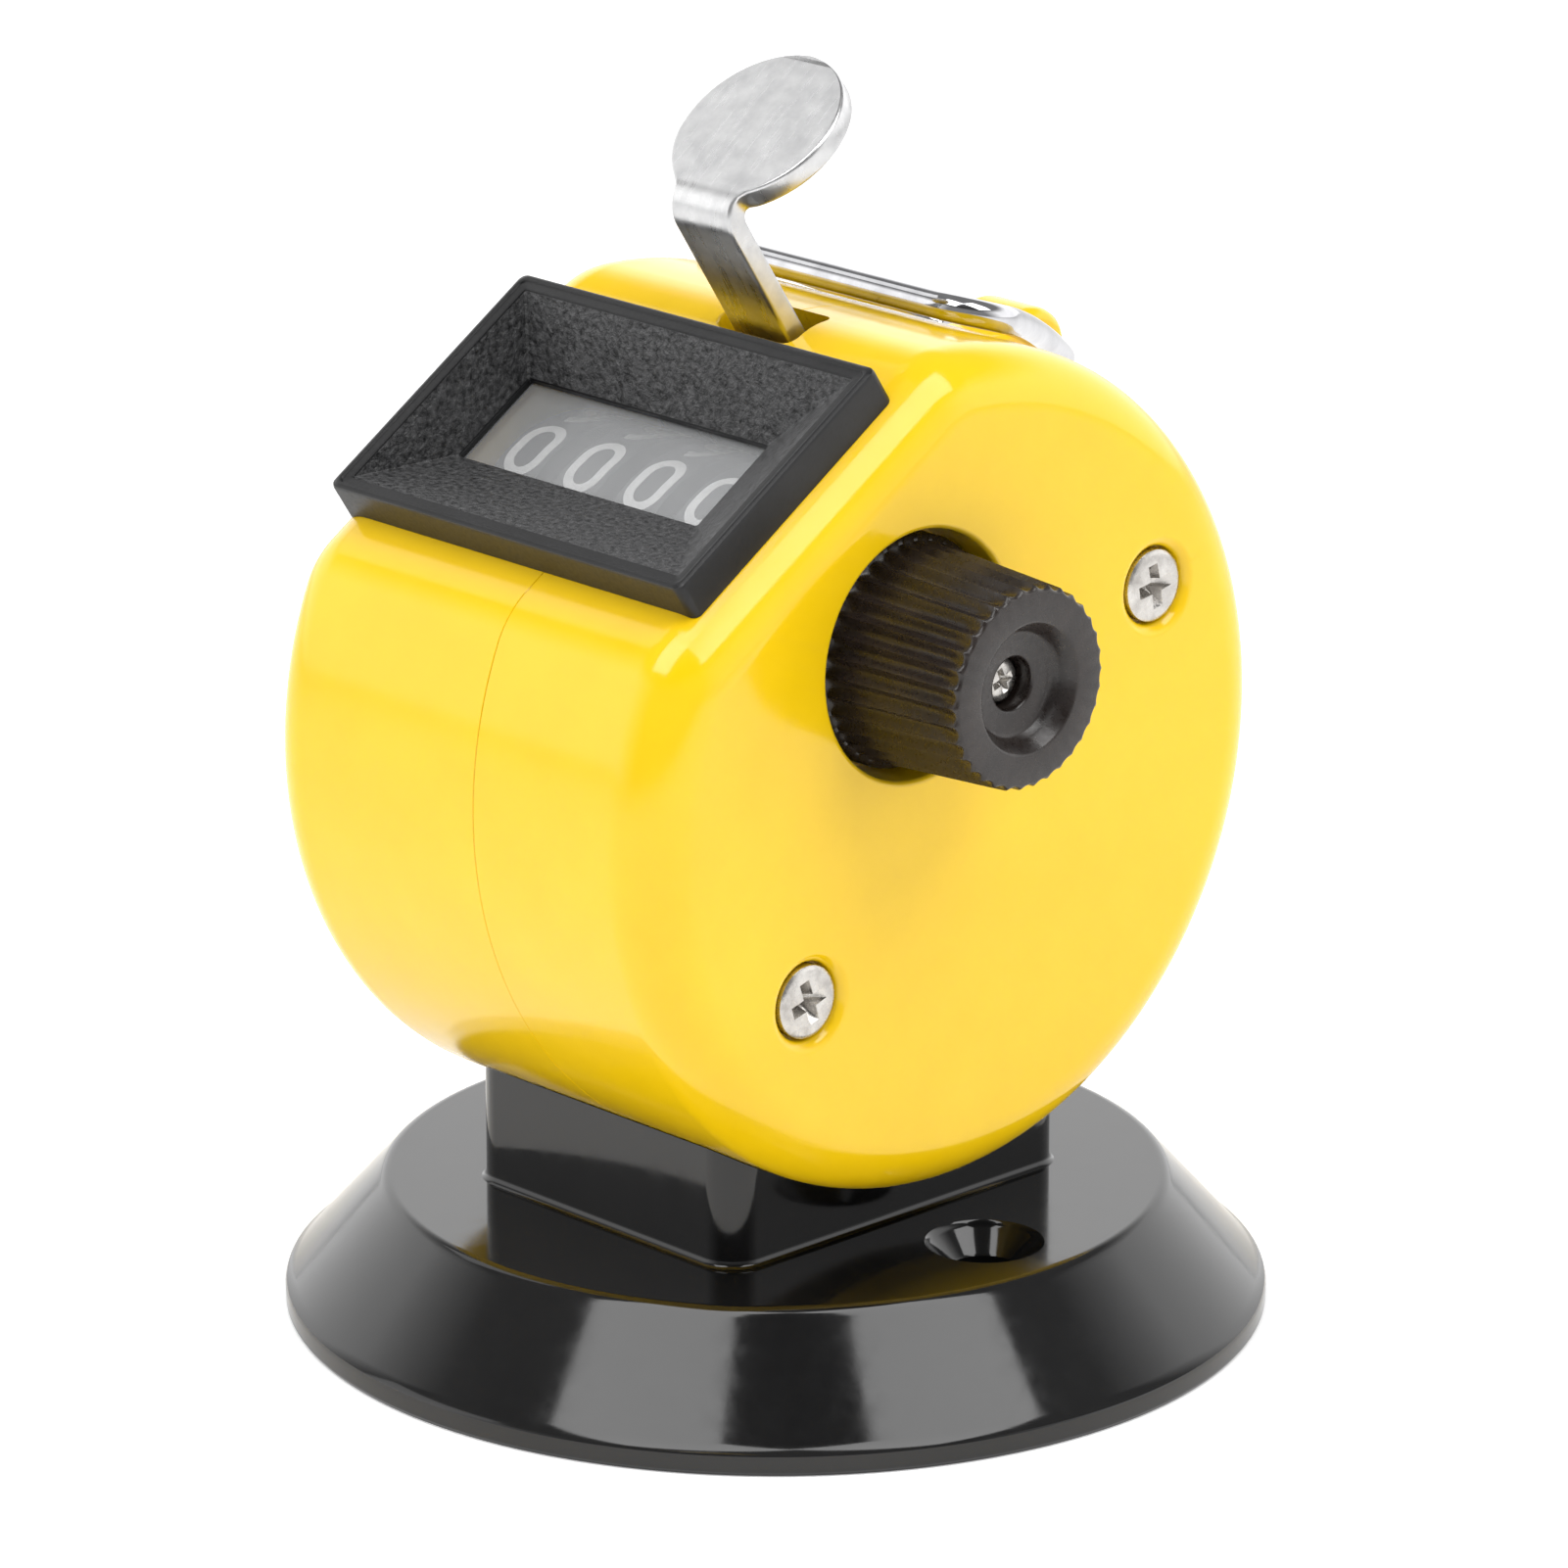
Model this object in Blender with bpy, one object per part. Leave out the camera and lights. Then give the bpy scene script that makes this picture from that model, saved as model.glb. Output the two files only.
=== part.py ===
"""Hand tally counter on a desk stand, built as separate closed pieces.

Sizes below are in millimetres and become metres when each piece is finished.
+X is the reset knob's side, -Y is the display's side, +Z is up.
The origin is the centre of the stand's underside.
"""

import math

import bmesh
import bpy
from mathutils import Matrix, Vector

MM = 0.001

# Drum housing
DRUM_Y = -0.6
DRUM_Z = 36.8
DRUM_RADIUS = 25.5
DRUM_HALF_WIDTH = 17.0
DRUM_RIM = 3.6
WALL = 1.8
SEAM_X = 2.0
SEAM_GAP = 0.2
FACET_TILT = math.radians(57.0)
FACET_DEPTH = 22.2
CAVITY_BEVEL = 1.6
CUT_INWARD = 5.0
CUT_OUTWARD = 5.0
ARC_STEPS = 46
CHORD_STEPS = 5
RIM_STEPS = 6

# Knob's cup in the cover, and the gap round shafts and pins
CUP_BACK = 11.2
CUP_WALL = 1.4
CUP_FLOOR = 1.6
SHAFT_GAP = 0.2
SHAFT_SOCKET = (-16.3, -14.0)
PIN_GAP = 0.15
PIN_BOSS_RADIUS = 2.4
PIN_BOSS_END = -0.5
PIN_SOCKET_LEFT = (-9.0, 0.5)
PIN_SOCKET_RIGHT_END = 14.0

# Display bezel and window, measured in the facet's own frame
BEZEL_X = -0.4
BEZEL_S = 0.05
BEZEL_HALF_X = 15.15
BEZEL_HALF_S = 9.3
BEZEL_TOP = 24.5
BEZEL_FOOT = 20.6
BEZEL_EDGE = 0.3
BEZEL_LAND = 1.1
BEZEL_STEP = 0.15
BEZEL_DRUM_GAP = 0.2
TUB_JOIN = 0.7
FUNNEL_FLOOR = 20.0
TUB_INSET = 0.6
TUB_INSET_FAR = 1.0
TUB_GAP = 0.25
TUB_FLOOR = 18.9
WINDOW_X = (-13.8, 6.9)
WINDOW_S = (-1.65, 5.1)
WINDOW_LEDGE = 0.9
WINDOW_TOP = 19.6
WINDOW_BOTTOM = 18.95
WINDOW_SIDE_GAP = 0.15
WINDOW_TOP_GAP = 0.1

# Stand
BASE_RADIUS = 30.0
BASE_TOP_RADIUS = 23.7
BASE_HEIGHT = 8.1
BASE_LIP = 1.4
BASE_WALL = 2.1
BASE_HOLLOW_INSET = 1.2
PEDESTAL_HALF_X = 11.5
PEDESTAL_HALF_Y = 14.0
PEDESTAL_CORNER = 2.2
PEDESTAL_GAP = 0.3
PEDESTAL_TOP = 17.5
PEDESTAL_WALL = 2.0
POCKET = (2.0, 8.7)
POCKET_CORNER = 1.2
DESK_BOSS_RADIUS = 4.4
DESK_BOSS_FOOT = 0.6
DESK_HOLE_X = 18.0
DESK_HOLE_RADIUS = 2.1
DESK_SINK_RADIUS = 3.5
STAND_SCREW_X = (-6.4, 6.4)
STAND_SCREW_TOP = 6.9
STAND_SCREW_LENGTH = 11.0
STAND_SCREW_HOLE = 1.6
STAND_BOSS_RADIUS = 2.8
STAND_BOSS = (12.6, 20.0)
STAND_PILOT = (9.0, 18.5)

# Number wheels on their shaft
SHAFT_Y = -4.6
SHAFT_Z = 45.3
SHAFT_RADIUS = 1.5
SHAFT_ENDS = (-16.1, 20.5)
SHAFT_BEVEL = 0.3
SHAFT_THREAD = 0.9
WHEEL_RADIUS = 8.6
WHEEL_BAND = 3.75
WHEEL_RATCHET = 1.3
WHEEL_X = (4.05, -1.2, -6.45, -11.7)
WHEEL_BORE = 1.75
RATCHET_TIP = 7.4
RATCHET_ROOT = 6.2
DIGITS = 10
WHEEL_BEVEL = 0.2
CLIP_X = (7.5, 7.9)
CLIP_RADIUS = 3.2
CLIP_GAP = 0.05
CLIP_MOUTH_HALF = 0.9

# Reset knob
KNOB_HOLE = 7.5
KNOB_END_X = 25.9
KNOB_ROOT_RADIUS = 6.65
KNOB_END_RADIUS = 6.05
KNOB_RIBS = 34
KNOB_GROOVE = 0.4
KNOB_SKIRT_RADIUS = 7.0
KNOB_SKIRT_X = (13.1, 15.8)
KNOB_BORE = 1.65
KNOB_BORE_END = 20.8
KNOB_RECESS_MOUTH = 3.85
KNOB_RECESS_FLOOR = 3.1
KNOB_RECESS_DEPTH = 1.4
KNOB_SCREW_HOLE = 1.55
KNOB_SCREW_HEAD = 1.3
KNOB_SCREW_TOP = 23.7
KNOB_SCREW_SEAT = 22.8
KNOB_SCREW_THREAD = 1.05

# Comb drives: one finger beside each wheel's band
FINGER_WIDTH = 0.8
FINGER_GAP = 0.25
DETENT_BOSS = (6.8, 33.0)
DETENT_BOSS_RADIUS = 2.2
DETENT_BOSS_END = -13.6
DETENT_PILOT = 0.85
DETENT_PILOT_X = (-16.2, -13.0)
DETENT_X = -13.4
DETENT_Y = (2.0, 4.6)
DETENT_Z = 33.0
DETENT_THICK = 0.4

# Thumb lever
LEVER_X = 1.8
LEVER_WIDTH = 5.0
LEVER_THICKNESS = 1.4
LEVER_S = 11.38
LEVER_STRIP_FOOT = 7.6
LEVER_PIVOT = (-18.0, 44.0)
LEVER_PAD = (-3.3, 74.0)
LEVER_PAD_RADIUS = 5.6
LEVER_PAD_RISE = math.radians(37.0)
LEVER_BEND = 2.2
ARM_X = (8.1, 9.4)
EAR_X = (-14.7, -13.4)
SLOT_SIDE_LEFT = 1.1
SLOT_SIDE_RIGHT = 0.55
SLOT_FRONT = 0.35
SLOT_REAR = 1.8
SPINE_DEPTH = (7.0, 12.9)
PIN_RADIUS = 1.2
PIN_X = (-8.5, 13.6)
PAWL_PIVOT = (7.3, 45.0)
PAWL_PIN_RADIUS = 0.85
PAWL_HOLE = 1.0
PAWL_BARREL_RADIUS = (1.1, 1.9)
PAWL_BARREL_X = (-13.1, 7.8)

# Torsion spring round the lever's pin
COIL_RADIUS = 2.0
COIL_WIRE = 0.28
COIL_TURNS = 5
COIL_START = 0.3
COIL_PITCH = 1.15

# Bail
WIRE_RADIUS = 0.85
WIRE_GAP = 0.2
BAIL_X = (-19.1, 10.8)
BAIL_CORNERS = (4.0, 2.4)
BAIL_ROOT_X = (-7.2, 3.4)
BAIL_ROOT_CORNER = 1.6
BAIL_PIN_X = (-2.9, -0.7)
BAIL_REST_ANGLE = math.radians(16.0)
BAIL_RADIUS = 26.55
BAIL_DROP_FROM = 14.0
BAIL_DROP_RATE = 0.11
HINGE_ANGLE = math.radians(49.0)
HINGE_RADIUS = 28.6
LUG_X = (-4.2, 1.0)
LUG_RADIUS = 2.8
LUG_FOOT_HALF = 5.6
LUG_SINK = 1.2
LUG_BORE_X = (-6.0, 3.0)

# Cover screws on the knob's side
COVER_SCREWS = {"cover_screw_rear": (15.2, 45.4), "cover_screw_front": (-13.35, 26.1)}
COVER_SCREW_TOP = 16.85
COVER_SCREW_LENGTH = 24.0
SCREW_HEAD = 2.25
SCREW_DISH = 3.15
SCREW_DISH_FLOOR = 15.6
SCREW_DISH_LIP = 16.4
SCREW_HEAD_GAP = 0.15
SCREW_SHANK = 1.1
SCREW_PILOT = 1.3
SCREW_PILOT_X = (-11.0, 2.0)
SCREW_HOLE = 1.6
SCREW_HOLE_X = (1.0, 18.0)
BOSS_LEFT_RADIUS = 3.0
BOSS_LEFT_END = 1.2
BOSS_RIGHT_RADIUS = 3.6
BOSS_RIGHT_START = 2.4
BOSS_ROOT = 0.5

FACET = Matrix((
    (1.0, 0.0, 0.0, 0.0),
    (0.0, math.sin(FACET_TILT), -math.cos(FACET_TILT), DRUM_Y),
    (0.0, math.cos(FACET_TILT), math.sin(FACET_TILT), DRUM_Z),
    (0.0, 0.0, 0.0, 1.0),
))
TOWARDS_X = Matrix.Rotation(math.radians(90.0), 4, "Y")
SHAFT_LINE = Matrix.Translation((0.0, SHAFT_Y, SHAFT_Z)) @ TOWARDS_X

COLOURS = {
    "yellow_plastic": ((1.0, 0.72, 0.04), 0.25, 0.0),
    "bezel_plastic": ((0.03, 0.03, 0.035), 0.5, 0.0),
    "black_plastic": ((0.012, 0.012, 0.014), 0.2, 0.0),
    "knob_plastic": ((0.03, 0.022, 0.022), 0.45, 0.0),
    "wheel_plastic": ((0.03, 0.03, 0.03), 0.5, 0.0),
    "window_clear": ((0.75, 0.78, 0.8), 0.1, 0.0),
    "nickel_steel": ((0.62, 0.62, 0.61), 0.35, 1.0),
    "chrome_wire": ((0.8, 0.8, 0.82), 0.08, 1.0),
    "zinc_screw": ((0.7, 0.7, 0.68), 0.3, 1.0),
    "spring_steel": ((0.45, 0.45, 0.46), 0.35, 1.0),
}


# ---------------------------------------------------------------- mesh tools

def mesh_object(vertices, faces):
    """A closed mesh object with its faces turned outwards."""
    mesh = bpy.data.meshes.new("piece")
    mesh.from_pydata([tuple(vertex) for vertex in vertices], [], faces)
    work = bmesh.new()
    work.from_mesh(mesh)
    bmesh.ops.recalc_face_normals(work, faces=work.faces)
    work.to_mesh(mesh)
    work.free()
    piece = bpy.data.objects.new("piece", mesh)
    bpy.context.scene.collection.objects.link(piece)
    return piece


def loft(rings, ring_closed=False):
    """Skin a list of equal rings, capped at both ends or joined end to end."""
    count = len(rings[0])
    vertices = [point for ring in rings for point in ring]
    faces = []
    spans = len(rings) if ring_closed else len(rings) - 1
    for row in range(spans):
        here = row * count
        there = ((row + 1) % len(rings)) * count
        for step in range(count):
            after = (step + 1) % count
            faces.append((here + step, here + after, there + after, there + step))
    if not ring_closed:
        faces.append(tuple(range(count)))
        last = (len(rings) - 1) * count
        faces.append(tuple(range(last, last + count)))
    return mesh_object(vertices, faces)


def circle(radius, height, steps):
    """Points of a circle round the local Z axis."""
    points = []
    for step in range(steps):
        angle = math.tau * step / steps
        points.append(Vector((radius * math.cos(angle), radius * math.sin(angle), height)))
    return points


def turned(profile, place, steps=32, ring_closed=False):
    """Revolve (radius, height) points; ring_closed leaves a bore down the middle."""
    rings = []
    for radius, height in profile:
        rings.append([place @ point for point in circle(radius, height, steps)])
    return loft(rings, ring_closed)


def cylinder_x(place_yz, radius, low, high, steps=24):
    """A plain cylinder along X."""
    place = Matrix.Translation((0.0, place_yz[0], place_yz[1])) @ TOWARDS_X
    return turned([(radius, low), (radius, high)], place, steps)


def prism_x(outline, low, high):
    """Extrude a (y, z) outline along X."""
    return loft([[Vector((x, y, z)) for y, z in outline] for x in (low, high)])


def block(low, high, place=Matrix.Identity(4)):
    """A box between two corners, in the frame given."""
    rings = []
    for height in (low[2], high[2]):
        corners = [(low[0], low[1]), (high[0], low[1]), (high[0], high[1]), (low[0], high[1])]
        rings.append([place @ Vector((x, y, height)) for x, y in corners])
    return loft(rings)


def swept(path, radius, steps=10):
    """A round wire along a path of points."""
    rings = []
    normal = None
    for index, point in enumerate(path):
        before = path[max(index - 1, 0)]
        after = path[min(index + 1, len(path) - 1)]
        tangent = (after - before).normalized()
        if normal is None:
            normal = tangent.orthogonal().normalized()
        normal = (normal - tangent * normal.dot(tangent)).normalized()
        side = tangent.cross(normal)
        ring = []
        for step in range(steps):
            angle = math.tau * step / steps
            ring.append(point + normal * (radius * math.cos(angle)) + side * (radius * math.sin(angle)))
        rings.append(ring)
    return loft(rings)


def combine(piece, other, operation):
    """Apply an exact boolean and drop the second object."""
    cut = piece.modifiers.new("combine", "BOOLEAN")
    cut.solver = "EXACT"
    cut.operation = operation
    cut.object = other
    graph = bpy.context.evaluated_depsgraph_get()
    graph.update()
    result = bpy.data.meshes.new_from_object(piece.evaluated_get(graph))
    piece.modifiers.clear()
    piece.data = result
    bpy.data.objects.remove(other)
    return piece


def cut_away(piece, *others):
    for other in others:
        combine(piece, other, "DIFFERENCE")
    return piece


def join_on(piece, *others):
    for other in others:
        combine(piece, other, "UNION")
    return piece


def finish(piece, name, slot, origin=(0.0, 0.0, 0.0)):
    """Name a piece, colour it, turn it to metres and put its origin in place."""
    piece.name = name
    piece.data.name = name
    shift = Matrix.Translation([-value for value in origin])
    piece.data.transform(Matrix.Scale(MM, 4) @ shift)
    piece.location = Vector(origin) * MM
    material = bpy.data.materials.get(slot) or new_material(slot)
    piece.data.materials.clear()
    piece.data.materials.append(material)
    piece.data.shade_smooth()
    piece.data.set_sharp_from_angle(angle=math.radians(32.0))
    return piece


def new_material(slot):
    colour, roughness, metallic = COLOURS[slot]
    material = bpy.data.materials.new(slot)
    material.use_nodes = True
    shader = material.node_tree.nodes["Principled BSDF"]
    shader.inputs["Base Color"].default_value = (*colour, 1.0)
    shader.inputs["Roughness"].default_value = roughness
    shader.inputs["Metallic"].default_value = metallic
    return material


def clear_scene():
    for item in list(bpy.data.objects):
        bpy.data.objects.remove(item)


# ------------------------------------------------------------- drum housing

def drum_outline(inset):
    """The drum's side outline, moved inwards by inset: an arc closed by the facet."""
    radius = DRUM_RADIUS - inset
    depth = FACET_DEPTH - inset
    half = math.acos(depth / radius)
    outline = []
    for step in range(ARC_STEPS + 1):
        angle = half + (math.tau - 2.0 * half) * step / ARC_STEPS
        outline.append((radius * math.sin(angle), radius * math.cos(angle)))
    for step in range(1, CHORD_STEPS):
        along = 2.0 * step / CHORD_STEPS - 1.0
        outline.append((along * radius * math.sin(half), depth))
    return outline


def drum_ring(x, inset):
    return [FACET @ Vector((x, s, d)) for s, d in drum_outline(inset)]


def drum_half(side, seam, inset=0.0):
    """A solid half of the drum, from the seam to its rounded outer edge."""
    rings = [drum_ring(seam, inset)]
    for step in range(RIM_STEPS + 1):
        angle = math.radians(90.0) * step / RIM_STEPS
        x = side * (DRUM_HALF_WIDTH - inset - DRUM_RIM * (1.0 - math.sin(angle)))
        rings.append(drum_ring(x, inset + DRUM_RIM * (1.0 - math.cos(angle))))
    return loft(rings)


def drum_cavity(side, seam):
    """The hollow inside a half."""
    floor = side * (DRUM_HALF_WIDTH - WALL)
    return loft([
        drum_ring(seam - side * 1.0, WALL),
        drum_ring(floor - side * WALL, WALL),
        drum_ring(floor, WALL + CAVITY_BEVEL),
    ])


def bail_point(angle, radius):
    return (DRUM_Y + radius * math.sin(angle), DRUM_Z + radius * math.cos(angle))


def lug_outline():
    """A rounded tab standing on the drum at the bail's hinge."""
    outward = Vector((math.sin(HINGE_ANGLE), math.cos(HINGE_ANGLE)))
    along = Vector((math.cos(HINGE_ANGLE), -math.sin(HINGE_ANGLE)))
    middle = Vector((DRUM_Y, DRUM_Z))
    hinge = middle + outward * HINGE_RADIUS
    foot = middle + outward * (DRUM_RADIUS - LUG_SINK)
    outline = [foot + along * LUG_FOOT_HALF]
    for step in range(11):
        angle = math.radians(-15.0 + 210.0 * step / 10)
        outline.append(hinge + (along * math.cos(angle) + outward * math.sin(angle)) * LUG_RADIUS)
    outline.append(foot - along * LUG_FOOT_HALF)
    return [tuple(point) for point in outline]


def bezel_opening():
    """The hole in the facet that the bezel's tub goes through."""
    return block(
        (BEZEL_X - BEZEL_HALF_X + TUB_INSET - TUB_GAP, BEZEL_S - BEZEL_HALF_S + TUB_INSET - TUB_GAP,
         FACET_DEPTH - CUT_INWARD),
        (BEZEL_X + BEZEL_HALF_X - TUB_INSET_FAR + TUB_GAP, BEZEL_S + BEZEL_HALF_S - TUB_INSET_FAR + TUB_GAP,
         FACET_DEPTH + CUT_OUTWARD),
        FACET,
    )


def lever_slot():
    """The slot behind the bezel that the thumb lever moves in."""
    return block(
        (LEVER_X - LEVER_WIDTH / 2 - SLOT_SIDE_LEFT, LEVER_S - SLOT_FRONT, FACET_DEPTH - CUT_INWARD),
        (LEVER_X + LEVER_WIDTH / 2 + SLOT_SIDE_RIGHT, LEVER_S + LEVER_THICKNESS + SLOT_REAR,
         FACET_DEPTH + CUT_OUTWARD),
        FACET,
    )


def upright_cylinder(x, radius, ends, steps=20):
    """A cylinder along Z below the drum's middle, between two heights."""
    place = Matrix.Translation((x, DRUM_Y, 0.0))
    return turned([(radius, ends[0]), (radius, ends[1])], place, steps)


def build_left_shell():
    floor = -(DRUM_HALF_WIDTH - WALL)
    seam = SEAM_X - SEAM_GAP / 2
    shell = drum_half(-1, seam)
    cut_away(shell, drum_cavity(-1, seam))
    for place_yz in COVER_SCREWS.values():
        join_on(shell, cylinder_x(place_yz, BOSS_LEFT_RADIUS, floor - BOSS_ROOT, BOSS_LEFT_END))
        cut_away(shell, cylinder_x(place_yz, SCREW_PILOT, *SCREW_PILOT_X, 16))
    join_on(shell, cylinder_x(LEVER_PIVOT, PIN_BOSS_RADIUS, floor - BOSS_ROOT, PIN_BOSS_END))
    cut_away(shell, cylinder_x(LEVER_PIVOT, PIN_RADIUS + PIN_GAP, *PIN_SOCKET_LEFT, 16))
    cut_away(shell, cylinder_x((SHAFT_Y, SHAFT_Z), SHAFT_RADIUS + SHAFT_GAP, *SHAFT_SOCKET))
    join_on(shell, cylinder_x(DETENT_BOSS, DETENT_BOSS_RADIUS, floor - BOSS_ROOT, DETENT_BOSS_END, 16))
    cut_away(shell, cylinder_x(DETENT_BOSS, DETENT_PILOT, *DETENT_PILOT_X, 12))
    join_on(shell, upright_cylinder(STAND_SCREW_X[0], STAND_BOSS_RADIUS, STAND_BOSS))
    cut_away(shell, upright_cylinder(STAND_SCREW_X[0], SCREW_PILOT, STAND_PILOT))
    join_on(shell, prism_x(lug_outline(), *LUG_X))
    hinge = bail_point(HINGE_ANGLE, HINGE_RADIUS)
    cut_away(shell, cylinder_x(hinge, WIRE_RADIUS + WIRE_GAP, *LUG_BORE_X, 16))
    cut_away(shell, bezel_opening(), lever_slot())
    return finish(shell, "left_shell", "yellow_plastic")


def build_right_cover():
    floor = DRUM_HALF_WIDTH - WALL
    seam = SEAM_X + SEAM_GAP / 2
    shell = drum_half(1, seam)
    cut_away(shell, drum_cavity(1, seam))
    shaft_yz = (SHAFT_Y, SHAFT_Z)
    outside = DRUM_HALF_WIDTH + 1.0
    join_on(shell, cylinder_x(shaft_yz, KNOB_HOLE + CUP_WALL, CUP_BACK, floor + BOSS_ROOT, 40))
    cut_away(shell, cylinder_x(shaft_yz, KNOB_HOLE, CUP_BACK + CUP_FLOOR, outside, 40))
    cut_away(shell, cylinder_x(
        shaft_yz, SHAFT_RADIUS + SHAFT_GAP, CUP_BACK - 1.0, CUP_BACK + CUP_FLOOR + 1.0))
    for place_yz in COVER_SCREWS.values():
        join_on(shell, cylinder_x(place_yz, BOSS_RIGHT_RADIUS, BOSS_RIGHT_START, floor + BOSS_ROOT))
        cut_away(shell, cylinder_x(place_yz, SCREW_HOLE, *SCREW_HOLE_X, 16))
        dish = Matrix.Translation((0.0, *place_yz)) @ TOWARDS_X
        seat = SCREW_HEAD + SCREW_HEAD_GAP
        cut_away(shell, turned([
            (seat, SCREW_DISH_FLOOR), (seat, SCREW_DISH_LIP), (SCREW_DISH, DRUM_HALF_WIDTH + 0.2)], dish, 24))
    join_on(shell, cylinder_x(LEVER_PIVOT, PIN_BOSS_RADIUS, ARM_X[1] + 0.4, floor + BOSS_ROOT))
    cut_away(shell, cylinder_x(
        LEVER_PIVOT, PIN_RADIUS + PIN_GAP, ARM_X[1] - 0.5, PIN_SOCKET_RIGHT_END, 16))
    join_on(shell, upright_cylinder(STAND_SCREW_X[1], STAND_BOSS_RADIUS, STAND_BOSS))
    cut_away(shell, upright_cylinder(STAND_SCREW_X[1], SCREW_PILOT, STAND_PILOT))
    cut_away(shell, bezel_opening(), lever_slot())
    return finish(shell, "right_cover", "yellow_plastic")


# ---------------------------------------------------------- display and base

def build_bezel():
    low_x = BEZEL_X - BEZEL_HALF_X
    high_x = BEZEL_X + BEZEL_HALF_X
    low_s = BEZEL_S - BEZEL_HALF_S
    high_s = BEZEL_S + BEZEL_HALF_S
    rings = []
    for depth, inset in ((BEZEL_FOOT, 0.0), (BEZEL_TOP - BEZEL_EDGE, 0.0), (BEZEL_TOP, BEZEL_EDGE)):
        rings.append([
            FACET @ Vector((x, s, depth)) for x, s in (
                (low_x + inset, low_s + inset), (high_x - inset, low_s + inset),
                (high_x - inset, high_s - inset), (low_x + inset, high_s - inset))
        ])
    frame = loft(rings)
    for side in (-1, 1):
        cut_away(frame, drum_half(side, -side * 1.0, -BEZEL_DRUM_GAP))
    join_on(frame, block(
        (low_x + TUB_INSET, low_s + TUB_INSET, TUB_FLOOR),
        (high_x - TUB_INSET_FAR, high_s - TUB_INSET_FAR, FACET_DEPTH + TUB_JOIN), FACET))
    opening = [
        (low_x + BEZEL_LAND, low_s + BEZEL_LAND), (high_x - BEZEL_LAND, low_s + BEZEL_LAND),
        (high_x - BEZEL_LAND, high_s - BEZEL_LAND), (low_x + BEZEL_LAND, high_s - BEZEL_LAND)]
    window = [
        (WINDOW_X[0], WINDOW_S[0]), (WINDOW_X[1], WINDOW_S[0]),
        (WINDOW_X[1], WINDOW_S[1]), (WINDOW_X[0], WINDOW_S[1])]
    funnel = []
    below = TUB_FLOOR - 0.9
    for outline, depth in ((window, below), (window, FUNNEL_FLOOR), (opening, BEZEL_TOP - BEZEL_STEP),
                           (opening, BEZEL_TOP + 1.0)):
        funnel.append([FACET @ Vector((x, s, depth)) for x, s in outline])
    cut_away(frame, loft(funnel))
    ledge = WINDOW_LEDGE + WINDOW_SIDE_GAP
    cut_away(frame, block(
        (WINDOW_X[0] - ledge, WINDOW_S[0] - ledge, below),
        (WINDOW_X[1] + ledge, WINDOW_S[1] + ledge, WINDOW_TOP + WINDOW_TOP_GAP), FACET))
    return finish(frame, "display_bezel", "bezel_plastic")


def build_window():
    pane = block(
        (WINDOW_X[0] - WINDOW_LEDGE, WINDOW_S[0] - WINDOW_LEDGE, WINDOW_BOTTOM),
        (WINDOW_X[1] + WINDOW_LEDGE, WINDOW_S[1] + WINDOW_LEDGE, WINDOW_TOP), FACET)
    return finish(pane, "display_window", "window_clear")


def rounded_rectangle(half_x, half_y, corner, steps=5):
    points = []
    for quarter, (sign_x, sign_y) in enumerate(((1, 1), (-1, 1), (-1, -1), (1, -1))):
        for step in range(steps + 1):
            angle = math.radians(90.0) * (quarter + step / steps)
            points.append((sign_x * (half_x - corner) + corner * math.cos(angle),
                           sign_y * (half_y - corner) + corner * math.sin(angle)))
    return points


def build_stand():
    upright = Matrix.Identity(4)
    stand = turned([
        (BASE_RADIUS - 0.3, 0.0), (BASE_RADIUS, 0.3), (BASE_RADIUS, BASE_LIP - 0.2),
        (BASE_RADIUS - 0.3, BASE_LIP + 0.2), (BASE_TOP_RADIUS + 0.5, BASE_HEIGHT - 0.45),
        (BASE_TOP_RADIUS + 0.15, BASE_HEIGHT - 0.12), (BASE_TOP_RADIUS - 0.3, BASE_HEIGHT)], upright, 64)
    outline = rounded_rectangle(PEDESTAL_HALF_X, PEDESTAL_HALF_Y, PEDESTAL_CORNER)
    heights = (BASE_HEIGHT - 1.0, PEDESTAL_TOP)
    pedestal = loft([[Vector((x, y + DRUM_Y, z)) for x, y in outline] for z in heights])
    cut_away(pedestal, cylinder_x((DRUM_Y, DRUM_Z), DRUM_RADIUS + PEDESTAL_GAP, -20.0, 20.0, 96))
    join_on(stand, pedestal)
    cut_away(stand, turned([
        (BASE_RADIUS - BASE_WALL, -1.0), (BASE_RADIUS - BASE_WALL, BASE_LIP - 0.3),
        (BASE_TOP_RADIUS - BASE_HOLLOW_INSET, BASE_HEIGHT - BASE_WALL)], upright, 48))
    pocket = rounded_rectangle(
        PEDESTAL_HALF_X - PEDESTAL_WALL, PEDESTAL_HALF_Y - PEDESTAL_WALL, POCKET_CORNER, 3)
    cut_away(stand, loft([[Vector((x, y + DRUM_Y, z)) for x, y in pocket] for z in POCKET]))
    for side in (-1, 1):
        place = Matrix.Translation((side * DESK_HOLE_X, 0.0, 0.0))
        join_on(stand, turned([
            (DESK_BOSS_RADIUS, DESK_BOSS_FOOT), (DESK_BOSS_RADIUS, BASE_HEIGHT - 1.0)], place, 24))
        cut_away(stand, turned([
            (DESK_HOLE_RADIUS, -1.0), (DESK_HOLE_RADIUS, BASE_HEIGHT - 1.7),
            (DESK_SINK_RADIUS, BASE_HEIGHT - 0.2), (DESK_SINK_RADIUS, BASE_HEIGHT + 1.0)], place, 28))
    for x in STAND_SCREW_X:
        cut_away(stand, upright_cylinder(x, STAND_SCREW_HOLE, (7.0, 13.0), 16))
    return finish(stand, "base_stand", "black_plastic")


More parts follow.
